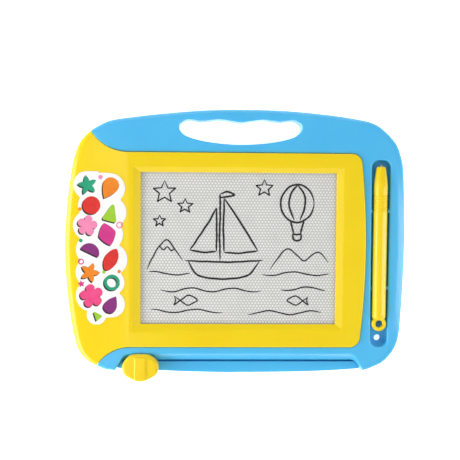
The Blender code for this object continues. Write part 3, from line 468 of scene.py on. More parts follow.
def grain(tree: Tree, cell_mm: float, detail: float = 2.0,
          stretch: Triple = (1.0, 1.0, 1.0)) -> Node:
    """Random grain in the object's own space, about 0.3 to 0.7.

    Args:
        tree: the tree.
        cell_mm: the size of its blobs, in millimetres.
        detail: how many finer layers it has.
        stretch: how often the pattern is repeated along each axis, against the others.

    Returns:
        The node that gives it.
    """
    place = add_node(tree, "TexCoord").outputs["Object"]
    mapped = add_node(tree, "Mapping", {"Scale": stretch}, {"Vector": place})
    settings = {"Scale": 1 / (cell_mm * MM), "Detail": detail, "Roughness": 0.55}
    return add_node(tree, "TexNoise", settings, {"Vector": mapped})


def drift(tree: Tree, low: str, high: str, cell_mm: float, detail: float) -> Socket:
    """Colour that drifts between two hex colours, in blobs of cell_mm."""
    share = add_node(tree, "MapRange", {1: 0.35, 2: 0.65}, {0: grain(tree, cell_mm, detail)})
    return add_node(tree, "Mix", colours(low, high), {0: share}).outputs[2]


def cell_distance(tree: Tree, pitch_mm: float) -> Node:
    """Distance from the nearest centre of a hexagonal lattice, in pitches.

    The lattice is two rectangular grids of 1 by root 3 pitches, the second moved by half a
    cell each way. The distance is the lesser of the two to the middle of the point's cell.

    Args:
        tree: the tree.
        pitch_mm: the distance between neighbouring centres, in millimetres.

    Returns:
        The node that gives it, 0 at a centre and about 0.5 at a wall.
    """
    pitches = 1 / (pitch_mm * MM)
    middle = (0.5, math.sqrt(3) / 2, 0.0)
    found = []
    for shift in ((0.0, 0.0, 0.0), middle):
        value = add_node(tree, "TexCoord").outputs["Object"]
        for settings in (
            {"operation": "MULTIPLY", 1: (pitches, pitches, 0)},
            {"operation": "ADD", 1: shift},
            {"operation": "WRAP", 1: (1.0, math.sqrt(3), 1.0), 2: (0, 0, -1)},
            {"operation": "DISTANCE", 1: middle},
        ):
            step = add_node(tree, "VectorMath", settings, {0: value})
            value = step.outputs[0]
        found.append(step.outputs["Value"])
    return add_node(tree, "Math", {"operation": "MINIMUM"}, dict(enumerate(found)))


@dataclass(frozen=True)
class MouldedPlastic:
    """Injection-moulded ABS: even colour, a satin gloss, a faint spark-eroded mould grain."""

    name: str
    colour: str
    shade: str
    glow: Triple = (1.0, 1.0, 1.0)
    glow_mm: float = 2.5
    roughness: float = 0.19
    grain_mm: float = 0.7
    grain_depth_mm: float = 0.0015

    def make(self) -> Look:
        """Colour drifts a little over centimetres, gloss over millimetres, and grain is relief."""
        look, tree, shader = new_look(self.name)
        ends = {1: 0.3, 2: 0.7, 3: self.roughness - 0.02, 4: self.roughness + 0.03}
        depth, height = self.grain_depth_mm * MM, grain(tree, self.grain_mm)
        settle(tree, shader, {
            "IOR": 1.54, "Subsurface Weight": 0.3, "Subsurface Radius": self.glow,
            "Subsurface Scale": self.glow_mm * MM,
        }, {
            "Base Color": drift(tree, self.shade, self.colour, 38.0, 1.0),
            "Roughness": add_node(tree, "MapRange", ends, {0: grain(tree, 6.0, 3.0)}),
            "Normal": add_node(tree, "Bump", {"Distance": depth}, {"Height": height}),
        })
        return look


@dataclass(frozen=True)
class ClearFilm:
    """Clear polyester film: nearly invisible, a soft gloss and fine hairlines from the pen."""

    name: str = "clear_polyester_film"
    veil: str = "F4F4F0"
    opacity: float = 0.02

    def make(self) -> Look:
        """Hairlines are long thin grain that only changes the gloss, and the sheet is wavy."""
        look, tree, shader = new_look(self.name)
        lines, waves = grain(tree, 1.4, 3.0, (0.08, 1.0, 1.0)), grain(tree, 9.0, 1.0)
        settle(tree, shader, {
            "Base Color": linear(self.veil), "Alpha": self.opacity, "IOR": 1.57,
        }, {
            "Roughness": add_node(tree, "MapRange", {1: 0.3, 2: 0.7, 3: 0.16, 4: 0.3}, {0: lines}),
            "Normal": add_node(tree, "Bump", {"Distance": 0.01 * MM}, {"Height": waves}),
        })
        return look


@dataclass(frozen=True)
class CellSheet:
    """Honeycomb sheet of the screen: white liquid in the cells, greyer walls between them."""

    name: str = "honeycomb_cell_sheet"
    liquid: str = "F2F2F0"
    wall: str = "C4C4C0"
    powder: str = "B4B5B3"
    pitch_mm: float = 2.4

    def make(self) -> Look:
        """White dots at the cell centres fade to the walls; old powder mottles the sheet."""
        look, tree, shader = new_look(self.name)
        away, mottle = cell_distance(tree, self.pitch_mm), grain(tree, 14.0, 4.0)
        centre = add_node(tree, "MapRange", {1: 0.2, 2: 0.46, 3: 1.0, 4: 0.0}, {0: away})
        amount = add_node(tree, "MapRange", {1: 0.42, 2: 0.72, 4: 0.22}, {0: mottle})
        cells = add_node(tree, "Mix", colours(self.wall, self.liquid), {0: centre}).outputs[2]
        settings = {"data_type": "RGBA", 7: linear(self.powder)}
        relief = {"Distance": 0.05 * MM, "Strength": 0.4}
        settle(tree, shader, {"Roughness": 0.55}, {
            "Base Color": add_node(tree, "Mix", settings, {0: amount, 6: cells}).outputs[2],
            "Normal": add_node(tree, "Bump", relief, {"Height": centre}),
        })
        return look


@dataclass(frozen=True)
class IronPowder:
    """Iron powder drawn up in the cells: dark grey, grainy, a little paler at the cell walls."""

    name: str = "iron_powder"
    dark: str = "08090A"
    pale: str = "1E1F20"
    pitch_mm: float = 2.4

    def make(self) -> Look:
        """The cell lattice shows through the stroke, and fine grain breaks it up."""
        look, tree, shader = new_look(self.name)
        away = cell_distance(tree, self.pitch_mm)
        walls = add_node(tree, "MapRange", {1: 0.3, 2: 0.55, 4: 0.55}, {0: away})
        grains = add_node(tree, "MapRange", {1: 0.35, 2: 0.7, 4: 0.6}, {0: grain(tree, 0.5)})
        both = add_node(tree, "Math", {"operation": "ADD", "use_clamp": True}, {0: walls, 1: grains})
        settle(tree, shader, {"Roughness": 0.8, "Specular IOR Level": 0.15}, {
            "Base Color": add_node(tree, "Mix", colours(self.dark, self.pale), {0: both}).outputs[2],
            "Normal": add_node(tree, "Bump", {"Distance": 0.03 * MM}, {"Height": grains}),
        })
        return look


@dataclass(frozen=True)
class PrintedVinyl:
    """Printed vinyl label: flat ink under a glossy skin with a slight orange peel."""

    name: str
    ink: str
    tint: str

    def make(self) -> Look:
        """Ink density drifts over a few millimetres, and the skin has a fine waviness."""
        look, tree, shader = new_look(self.name)
        peel = grain(tree, 1.6, 1.0)
        settle(tree, shader, {"Roughness": 0.3, "IOR": 1.5}, {
            "Base Color": drift(tree, self.tint, self.ink, 5.0, 2.0),
            "Normal": add_node(tree, "Bump", {"Distance": 0.004 * MM}, {"Height": peel}),
        })
        return look


@dataclass(frozen=True)
class MachinedMetal:
    """Bare or plated metal: full metallic shader, fine turning or rolling marks in the gloss."""

    name: str
    colour: str
    shade: str
    roughness: float
    marks_mm: float
    stretch: Triple = (1.0, 1.0, 1.0)

    def make(self) -> Look:
        """Marks are grain stretched along the tool's path, in the gloss and in the relief."""
        look, tree, shader = new_look(self.name)
        marks = grain(tree, self.marks_mm, 2.0, self.stretch)
        ends = {1: 0.3, 2: 0.7, 3: self.roughness - 0.07, 4: self.roughness + 0.1}
        settle(tree, shader, {"Metallic": 1.0}, {
            "Base Color": drift(tree, self.shade, self.colour, 2.0, 3.0),
            "Roughness": add_node(tree, "MapRange", ends, {0: marks}),
            "Normal": add_node(tree, "Bump", {"Distance": 0.006 * MM}, {"Height": marks}),
        })
        return look


@dataclass(frozen=True)
class SinteredMagnet:
    """Ferrite or rubber-bound magnet: near black, matt, with pressed grains."""

    name: str
    colour: str = "2B2A2A"
    dust: str = "4A4745"

    def make(self) -> Look:
        """Pressed grains show as paler specks and as a rough relief."""
        look, tree, shader = new_look(self.name)
        grains = grain(tree, 0.8, 4.0)
        specks = add_node(tree, "MapRange", {1: 0.5, 2: 0.75}, {0: grains})
        settle(tree, shader, {"Roughness": 0.68}, {
            "Base Color": add_node(tree, "Mix", colours(self.colour, self.dust), {0: specks}).outputs[2],
            "Normal": add_node(tree, "Bump", {"Distance": 0.03 * MM}, {"Height": grains}),
        })
        return look


@dataclass(frozen=True)
class PaleCove:
    """Matt white light table: opal board that is lit a little from below."""

    name: str = "opal_light_table"
    colour: str = "F7F7F7"
    shade: str = "F3F3F3"
    light: float = 0.85

    def make(self) -> Look:
        """Only a hundredth of the brightness drifts over the floor."""
        look, tree, shader = new_look(self.name)
        settle(tree, shader, {
            "Roughness": 0.9, "Specular IOR Level": 0.1, "Emission Color": linear("FFFFFF"),
            "Emission Strength": self.light,
        }, {"Base Color": drift(tree, self.shade, self.colour, 160.0, 1.0)})
        return look


# Plan and levels that the pieces share with the solids of the frame


@dataclass(frozen=True)
class BoardPlan:
    """Outlines and levels of the board, in millimetres, as its solids have them."""

    width: float = 260.1
    height: float = 203.1
    middle_y: float = 2.25
    window: tuple[float, float, float, float] = (-72.0, 76.7, -59.6, 56.0)
    seam: float = 6.3
    housing_top: float = 17.0
    frame_top: float = 18.5
    bezel_foot: float = 15.7
    core_top: float = 14.7
    plate_top: float = 11.7
    plate_bottom: float = 9.9
    slope_foot: float = 9.5
    lip_top: float = 9.0
    tray_floor: float = 9.5
    frame_bands: Triple = (15.0, 17.6, 23.0)
    frame_bulge: float = 3.7
    frame_corner: float = 8.1
    rim_y: float = -82.2
    bay_ends: Point = (11.7, 14.3)
    bay_end_run: float = 1.2
    bay_run: float = 6.1
    slot_top_y: float = -88.3
    slot_foot_y: float = -89.7
    tray_x: float = 110.85
    tray_top_y: float = 66.3
    tray_foot_y: float = -76.8
    tray_halves: Point = (6.45, 7.15)
    cord_hole: Triple = (110.85, -70.9, 2.3)
    grip_size: Point = (92.8, 19.0)
    panel_start: float = 8.0
    panel_ease: float = 4.0
    panel_angle: float = 5.0
    edge_round_ends: float = 3.0
    edge_round_sides: float = 7.0
    edge_round_drop: float = 3.6
    screws: tuple[Point, ...] = (
        (-107.94, 68.87), (-69.97, 84.71), (71.79, 84.71), (107.42, 80.04),
        (-110.54, 2.66), (-105.34, -69.65), (93.3, 24.79), (93.3, -67.62),
    )
    outline_shares: tuple[Point, ...] = (
        (0.500, 0.013), (0.498, 0.128), (0.497, 0.195), (0.493, 0.285), (0.486, 0.330),
        (0.472, 0.376), (0.439, 0.423), (0.400, 0.455), (0.336, 0.472), (0.258, 0.485),
        (0.142, 0.497), (0.025, 0.500), (-0.092, 0.496), (-0.208, 0.483), (-0.298, 0.469),
        (-0.368, 0.454), (-0.418, 0.421), (-0.447, 0.388), (-0.466, 0.342), (-0.479, 0.275),
        (-0.493, 0.143), (-0.500, -0.020), (-0.494, -0.171), (-0.480, -0.307), (-0.463, -0.398),
        (-0.435, -0.445), (-0.395, -0.471), (-0.357, -0.483), (-0.204, -0.494), (-0.055, -0.500),
        (0.034, -0.500), (0.212, -0.497), (0.336, -0.489), (0.384, -0.482), (0.415, -0.468),
        (0.444, -0.448), (0.472, -0.406), (0.487, -0.353), (0.493, -0.261), (0.498, -0.123),
    )
    grip_shares: tuple[Point, ...] = (
        (0.0, -0.500), (0.125, -0.475), (0.255, -0.405), (0.365, -0.300), (0.455, -0.140),
        (0.498, 0.090), (0.495, 0.310), (0.450, 0.460), (0.395, 0.478), (0.330, 0.425),
        (0.255, 0.455), (0.180, 0.500), (0.095, 0.450),
    )

    def body(self, inwards: float | np.ndarray = 0.0, steps: int = 8) -> Loop:
        """Outline of the case, moved inwards."""
        knots = [(x * self.width, self.middle_y + y * self.height) for x, y in self.outline_shares]
        return inset(smooth_loop(knots, steps), inwards)

    def rounded_body(self, foot: float, top: float, falls: bool = False, steps: int = 9) -> Rings:
        """Case outline with its top edge rounded, more broadly towards the sides.

        The edge goes in by w (1 - cos a) while it falls by d (1 - sin a). The width w runs
        from its value at the ends of Y to its value at the sides with the square of the
        outline normal's X.

        Args:
            foot: the level of the foot.
            top: the level of the flat top.
            falls: whether the rounding follows the fall of the left panel.
            steps: the steps in the rounding.

        Returns:
            The rings.
        """
        loop = self.body()
        sideways = outward(loop)[:, 0] ** 2
        width = self.edge_round_ends + (self.edge_round_sides - self.edge_round_ends) * sideways
        rings: Rings = [(loop, foot)]
        for a in quarter(steps):
            ring = inset(loop, width * (1 - math.cos(a)))
            level = top - self.edge_round_drop * (1 - math.sin(a))
            rings.append((ring, level - self.panel_drop(ring[:, 0]) if falls else level))
        return rings

    def window_loop(self, sides: float = 0.0, ends: float = 0.0) -> Loop:
        """Corners of the screen window, grown along X and along Y."""
        left, right, foot, top = self.window
        return rectangle(left - sides, right + sides, foot - ends, top + ends)

    def frame_zone(self, grow: float = 0.0, steps: int = 14) -> Loop:
        """Boundary of the yellow frame, which runs out past the case at the left.

        Its right edge bulges as a parabola between two corner arcs, and two wide arcs flare it
        towards the left corners of the case.

        Args:
            grow: how far it moves outwards.
            steps: the steps in each corner; each wide arc has twice as many.

        Returns:
            The points of the boundary.
        """
        left, right, foot, top = self.window
        at_top, at_foot, at_right = self.frame_bands
        top, foot, right = top + at_top, foot - at_foot, right + at_right
        bulge, corner = self.frame_bulge, self.frame_corner
        half = (top - foot) / 2
        lean = math.atan(2 * bulge / half)
        reach = half - corner * (1 - math.sin(lean))
        along = np.linspace(-1, 1, steps + 1)[1:-1]
        edge = np.column_stack((right + grow - bulge * along**2, (top + foot) / 2 + reach * along))
        middle_x = right - bulge - corner * math.cos(lean)
        turn = math.pi / 2 - lean
        low = arc((middle_x, foot + corner), corner + grow, -math.pi / 2, turn, steps)
        high = arc((middle_x, top - corner), corner + grow, lean, turn, steps)
        flare, top_radius, foot_radius = math.radians(78), 33.0, 30.0
        up = arc((left - 9.7, top + top_radius), top_radius - grow, -math.pi / 2, -flare, 2 * steps)
        down = arc((left - 7.7, foot - foot_radius), foot_radius - grow, math.pi / 2 + flare, -flare,
                   2 * steps)
        far = -self.width / 2 - 58.05
        ends = np.array(((far, up[-1][1]), (far, down[0][1])))
        return np.concatenate((low, edge, high, up, ends, down))

    def grip(self, grow: float = 0.0, steps: int = 8) -> Loop:
        """Grip slot: finger waves along its top, one long curve along its foot.

        Args:
            grow: how far it moves outwards.
            steps: the points made between two knots.

        Returns:
            The points.
        """
        shares = [*self.grip_shares, (0.0, 0.385), *((-x, y) for x, y in self.grip_shares[:0:-1])]
        (length, width), band = self.grip_size, 7.7
        middle_x = (self.window[0] + self.window[1]) / 2 + 1.0
        middle_y = self.middle_y + self.height / 2 - band - width / 2
        knots = [(middle_x + x * length, middle_y + y * width) for x, y in shares]
        return inset(smooth_loop(knots, steps), -grow)

    def tray(self, grow: float = 0.0, steps: int = 12) -> Loop:
        """Pen tray, a long box that narrows towards its foot.

        Args:
            grow: how far it moves outwards.
            steps: the steps in each corner.

        Returns:
            The points.
        """
        x, top, foot = self.tray_x, self.tray_top_y, self.tray_foot_y
        at_foot, at_top = self.tray_halves
        corners = ((x - at_foot, foot), (x + at_foot, foot), (x + at_top, top), (x - at_top, top))
        return rounded(corners, 5.6 + grow, [-grow] * 4, steps)

    def bay(self, drop: float, grow: float = 0.0, steps: int = 12) -> Loop:
        """Bay of the eraser knob, which runs out past the lower edge of the case.

        Args:
            drop: 0 at its rim and 1 at the foot of its slope.
            grow: how far it moves outwards.
            steps: the steps in each corner.

        Returns:
            The points.
        """
        left, right = self.window[0] - self.bay_ends[0], self.window[1] + self.bay_ends[1]
        reach, splay, corner = 34.0, 21.08, 6.5
        corners = ((left - splay, self.rim_y - reach), (right + splay, self.rim_y - reach),
                   (right, self.rim_y), (left, self.rim_y))
        end, slope = self.bay_end_run * drop - grow, self.bay_run * drop - grow
        return rounded(corners, corner, [0, end, slope, end], steps)

    def panel_drop(self, x: np.ndarray) -> np.ndarray:
        """How far the left panel lies below the frame's top.

        Past its start it falls by the slope times the run less half the ease. While the run is
        below the ease, run squared / twice the ease takes the place of that length.

        Args:
            x: places on X.

        Returns:
            The drop at each of them.
        """
        ease = self.panel_ease
        run = np.clip(self.window[0] - self.panel_start - x, 0, None)
        eased = np.where(run < ease, run**2 / (2 * ease), run - ease / 2)
        return eased * math.tan(math.radians(self.panel_angle))

    def tab_places(self, grow: float) -> list[Loop]:
        """Plan boxes of the frame's two snap tabs.

        Args:
            grow: how far each box grows on every side.

        Returns:
            The box at its top edge and the box at its right edge.
        """
        left, right, foot, top = self.window
        x, y = left + 0.9375 * (right - left), (foot + top) / 2
        outer_y, outer_x, half, thick = top + 14.0, right + 22.0, 10.2, 1.5
        return [
            rectangle(x - half - grow, x + half + grow, outer_y - thick - grow, outer_y + grow),
            rectangle(outer_x - thick - grow, outer_x + grow, y - half - grow, y + half + grow),
        ]


# Sub-assemblies


@dataclass
class Case:
    """Blue shells of the case: the front housing and the rear cover."""

    plan: BoardPlan
    finish: MouldedPlastic = MouldedPlastic("blue_moulded_abs", "57C5F8", "53C1F5", (0.2, 0.7, 1.0))
    wall: float = 2.0
    inner_wall: float = 1.8
    gap: float = 0.3
    rim_round: float = 0.7
    post: float = 3.6
    screw_hole: float = 1.6
    head_hole: float = 2.8
    grip_round: float = 0.8
    tray_round: float = 1.3
    tray_root: float = 1.2
    bump_shares: Point = (0.272, 0.685)
    bay_round: float = 0.9
    bay_widening: float = 0.8
    cover_inset: float = 0.8
    back_round: float = 1.6
    lip_round: float = 0.8
    slot_round: float = 0.9
    cord_well: float = 4.6
    head_level: float = 2.8
    rib_ends: Point = (-80.0, 84.7)
    rib_half: float = 0.8
    rib_top: float = 5.2

    def build(self) -> None:
        """Makes both shells and dresses them."""
        look = self.finish.make()
        dress(self.front_housing(), look, Body.CASE, Slot.BLUE, "front_housing")
        dress(self.rear_cover(), look, Body.CASE, Slot.BLUE, "rear_cover")

    def posts(self, radius: float, low: float, high: float, steps: int = 20) -> Piece:
        """One upright cylinder at each screw, as one tool.

        Args:
            radius: the radius of the cylinders.
            low: the level that they start at.
            high: the level that they end at.
            steps: the steps round each of them.

        Returns:
            The tool.
        """
        points, faces = [], []
        for number, (x, y) in enumerate(self.plan.screws):
            ring = circle(x, y, radius, steps)
            points += [np.column_stack((ring, np.full(steps, level))) for level in (low, high)]
            faces += tube_faces(2, steps, number * 2 * steps)
        return mesh_piece("posts", np.concatenate(points), faces)

    def front_housing(self) -> Piece:
        """Front shell with the frame's recess, the grip slot, the pen tray and the bay.

        The outside is the rounded outline. Each opening is a cutter whose rim flares, so that
        its edge comes out rounded. Inside, one hollow leaves the walls round the openings.
        """
        plan, wall = self.plan, self.inner_wall
        low, under, over = plan.seam - 8, plan.plate_bottom - 1, plan.plate_top + 1
        hollow = prism(plan.body(self.wall + 2.0, 3), plan.seam - 5, plan.plate_bottom, "hollow")
        bay_foot, bay_rim = plan.bay(1, wall, 5), plan.bay(0, wall, 5)
        cut(
            hollow,
            prism(plan.grip(wall, 3), low, HIGH),
            prism(plan.tray(wall, 5), plan.tray_floor - wall, HIGH),
            ring_solid("bay_wall", [(bay_foot, plan.slope_foot - 1.5), (bay_foot, plan.slope_foot),
                                    (bay_rim, plan.housing_top)]),
            self.posts(self.post, plan.seam, HIGH),
        )
        recess = prism(plan.frame_zone(self.gap), plan.seam - 5, HIGH, "recess")
        cut(recess, prism(plan.body(self.wall + self.gap, 3), low, plan.plate_top))
        rim = ring_solid("recess_rim", [
            (plan.frame_zone(self.gap), over),
            *flared(lambda grow: plan.frame_zone(self.gap + grow), plan.plate_top + 2.0,
                    plan.housing_top, self.rim_round, 5),
        ])
        return cut(
            ring_solid("front_housing_shell", plan.rounded_body(plan.seam, plan.housing_top)),
            hollow,
            recess,
            rim,
            prism(plan.window_loop(8.0, 0.8), under, over),
            ring_solid("grip", flared(plan.grip, low, plan.housing_top, self.grip_round)),
            self.tray_cutter(),
            self.bay_cutter(),
            prism(circle(*plan.cord_hole, 32), plan.tray_floor - 5, plan.tray_floor + 0.5),
            *(prism(tab, under, over) for tab in plan.tab_places(self.gap)),
            self.posts(self.screw_hole, plan.seam - 2, plan.seam + 2.9),
        )

    def tray_cutter(self) -> Piece:
        """Cutter of the pen tray: a rounded floor edge, upright walls, snap bumps, a wide rim."""
        plan, top = self.plan, self.plan.housing_top
        tray = ring_solid("tray", [
            *foot_round(lambda inwards: plan.tray(-inwards), plan.tray_floor, self.tray_root, 5),
            *flared(plan.tray, plan.tray_floor + 2 * self.tray_root, top, self.tray_round),
        ])
        at_foot, at_top = plan.tray_halves
        bump_rings = ((1.6, plan.tray_floor - 3), (1.6, top - 2.2), (1.35, top - 1.4), (0.9, top - 1.0))
        bumps = []
        for share in self.bump_shares:
            y = plan.tray_top_y + share * (plan.tray_foot_y - plan.tray_top_y)
            reach = at_top - (at_top - at_foot) * share + 0.2
            for x in (plan.tray_x - reach, plan.tray_x + reach):
                bumps.append(ring_solid("bump", [(circle(x, y, r, 28), z) for r, z in bump_rings]))
        return cut(tray, *bumps)

    def bay_cutter(self) -> Piece:
        """Cutter of the bay: the slope's foot, the slope, and a rounded rim at its head.

        Over the last bay_round of the rise the slope's loop widens by a further bay_widening
        times s squared, s running from 0 to 1.
        """
        plan, widening = self.plan, self.bay_widening
        rings: Rings = [(plan.bay(1), plan.seam - 6), (plan.bay(1), plan.slope_foot)]
        for s in np.linspace(0, 1, 7):
            level = plan.housing_top - self.bay_round * (1 - s)
            drop = (plan.housing_top - level) / (plan.housing_top - plan.slope_foot)
            rings.append((plan.bay(drop, widening * s**2), level))
        return ring_solid("bay", [*rings, (plan.bay(0, widening), HIGH)])

    def rear_cover(self) -> Piece:
        """Rear shell: rounded back edge, and the lip that rises in front of the slot.

        Inside, one hollow leaves two ribs, the posts of the screws and the cord's well.
        """
        plan, wall, rest = self.plan, self.inner_wall, self.cover_inset
        wide, tall, low = plan.width, plan.height, -5.0
        cover = ring_solid("rear_cover_shell", [
            *foot_round(lambda inwards: plan.body(rest + inwards), 0.0, self.back_round, 6),
            *head_round(lambda inwards: plan.body(rest + inwards), plan.lip_top, self.lip_round, 5),
        ])
        lip_zone = prism(plan.bay(1, -self.gap), low, HIGH + 2)
        cut(lip_zone, prism(rectangle(-wide, wide, plan.slot_foot_y, tall), low - 1, HIGH + 3))
        above = cut(prism(rectangle(-wide, wide, -tall, tall), plan.seam - self.gap, HIGH), lip_zone)
        soft, outer_y = self.slot_round, plan.slot_foot_y + 0.5
        inner_y, lower = plan.slot_foot_y - soft, plan.lip_top - soft
        turn = quarter(5)[::-1]
        edge = np.column_stack((inner_y + soft * np.cos(turn), lower + soft * np.sin(turn)))
        corner = ((outer_y, lower), (outer_y, plan.lip_top + 1), (inner_y, plan.lip_top + 1))
        slot_edge = section_solid("slot_edge", np.concatenate((corner, edge)), "X", -wide, wide)
        cord, (left, right), half = plan.cord_hole[:2], self.rib_ends, self.rib_half
        hollow = prism(plan.body(rest + self.wall, 3), wall, plan.lip_top - wall, "hollow")
        cut(
            hollow,
            prism(plan.grip(wall, 3), low, HIGH),
            *(prism(rectangle(left, right, y - half, y + half), low, self.rib_top)
              for y in (plan.window[3] + 5.5, plan.slot_top_y + 7.6)),
            self.posts(self.post, low, 6.0),
            prism(circle(*cord, self.cord_well + wall, 40), low, 5.9),
        )
        return cut(
            cover,
            above,
            slot_edge,
            hollow,
            prism(plan.grip(), low, HIGH),
            prism(circle(*cord, self.cord_well, 40), low, HIGH),
            self.posts(self.head_hole, low, self.head_level, 28),
            self.posts(self.screw_hole, low + 1, HIGH),
        )


@dataclass
class ScreenFrame:
    """Yellow shell: the left panel with its side wall, the bands and the bezel."""

    plan: BoardPlan
    look: Look
    gap: float = 0.3
    wall: float = 2.0
    edge_round: float = 1.0
    bezel_lip: float = 0.9
    bezel_runs: Point = (7.3, 5.3)
    bezel_head: float = 0.5
    bezel_ease: float = 1.2
    hook: float = 0.9

    def build(self) -> None:
        """Makes the frame and dresses it."""
        dress(self.shell(), self.look, Body.CASE, Slot.YELLOW, "front_frame", crease=18.0)

    def above_panel(self, lower: float) -> Piece:
        """Everything above the left panel, whose level follows the plan's fall.

        Args:
            lower: how far below the frame's top it starts.

        Returns:
            The tool.
        """
        plan = self.plan
        start = plan.window[0] - plan.panel_start
        x = (np.linspace(-plan.width / 2 - 5, start, 40), np.linspace(start - plan.panel_ease, start, 9))
        x = np.unique(np.round(np.concatenate(x), 6))
        level = plan.frame_top - lower - plan.panel_drop(x)
        section = np.concatenate((np.column_stack((x, level)), ((x[-1], HIGH), (x[0], HIGH))))
        return section_solid("above_panel", section, "Y", -140.0, 140.0)

    def shell(self) -> Piece:
        """Frame shell: the case's rounded outline cut to the frame's zone, then hollowed.

        The zone's top edge is a quarter round, the window is a mitred bezel whose outer edge is
        rounded in the same way, and the left panel falls away.
        """
        plan, seat = self.plan, self.plan.plate_top + self.gap
        low, top = plan.seam - 5, plan.frame_top
        hollow = prism(plan.frame_zone(-1.8, 5), seat - 5, top - self.wall, "hollow")
        combine(hollow, Operation.COMMON, prism(plan.body(self.wall + 1.4, 3), low, HIGH))
        cut(hollow, self.above_panel(self.wall), ring_solid("bezel_wall", [
            (plan.window_loop(3.2, 3.2), plan.bezel_foot), (plan.window_loop(8.2, 6.2), top),
        ]))
        outside = plan.rounded_body(plan.seam, top - 0.002, True)
        shell = ring_solid("front_frame_shell", [*outside, (outside[-1][0], HIGH)])
        zone = flared(lambda inwards: plan.frame_zone(-inwards), low, top, self.edge_round, 7)
        combine(shell, Operation.COMMON, ring_solid("zone", zone))
        cut(
            shell,
            prism(rectangle(-150, 150, -150, 150), top, HIGH + 5),
            self.above_panel(0.0),
            prism(plan.body(self.wall, 3), low, seat),
            hollow,
            self.window_cutter(),
        )
        return combine(shell, Operation.JOIN, *self.tabs())

    def window_cutter(self) -> Piece:
        """Cutter of the window: an upright lip, the sloping bezel and a rounded outer edge.

        The slope climbs from the lip to the top over one run at the sides and another at the
        ends. Over the last bezel_head of the rise the loop grows by a further bezel_ease times
        s squared, s running from 0 to 1.
        """
        plan, (sides, ends) = self.plan, self.bezel_runs
        foot = plan.bezel_foot + self.bezel_lip
        rings: Rings = [
            (plan.window_loop(), plan.bezel_foot - 2), (plan.window_loop(), foot - 0.25),
            (plan.window_loop(0.15, 0.12), foot - 0.05),
        ]
        for s in np.linspace(0, 1, 7):
            level = plan.frame_top - self.bezel_head * (1 - s)
            share, ease = (level - foot) / (plan.frame_top - foot), self.bezel_ease * s**2
            rings.append((plan.window_loop(sides * share + ease, ends * share + ease), level))
        return ring_solid("window", [*rings, (rings[-1][0], HIGH)])

    def tabs(self) -> list[Piece]:
        """Tongues through the housing's plate, each with the hook that holds it."""
        hook_top, root = self.plan.plate_bottom - self.gap, self.plan.bezel_foot
        made = []
        for across, axis, loop in zip((1, 0), "XY", self.plan.tab_places(0.0)):
            inner, outer = loop[:, across].min(), loop[:, across].max()
            nose = outer + self.gap + self.hook
            section = np.array((
                (inner, hook_top - 1.6), (nose - 0.5, hook_top - 1.6), (nose, hook_top - 1.0),
                (nose, hook_top), (outer, hook_top), (outer, root), (inner, root),
            ))
            ends = loop[:, 1 - across].min(), loop[:, 1 - across].max()
            made.append(section_solid("tab", section, axis, *ends))
        return made


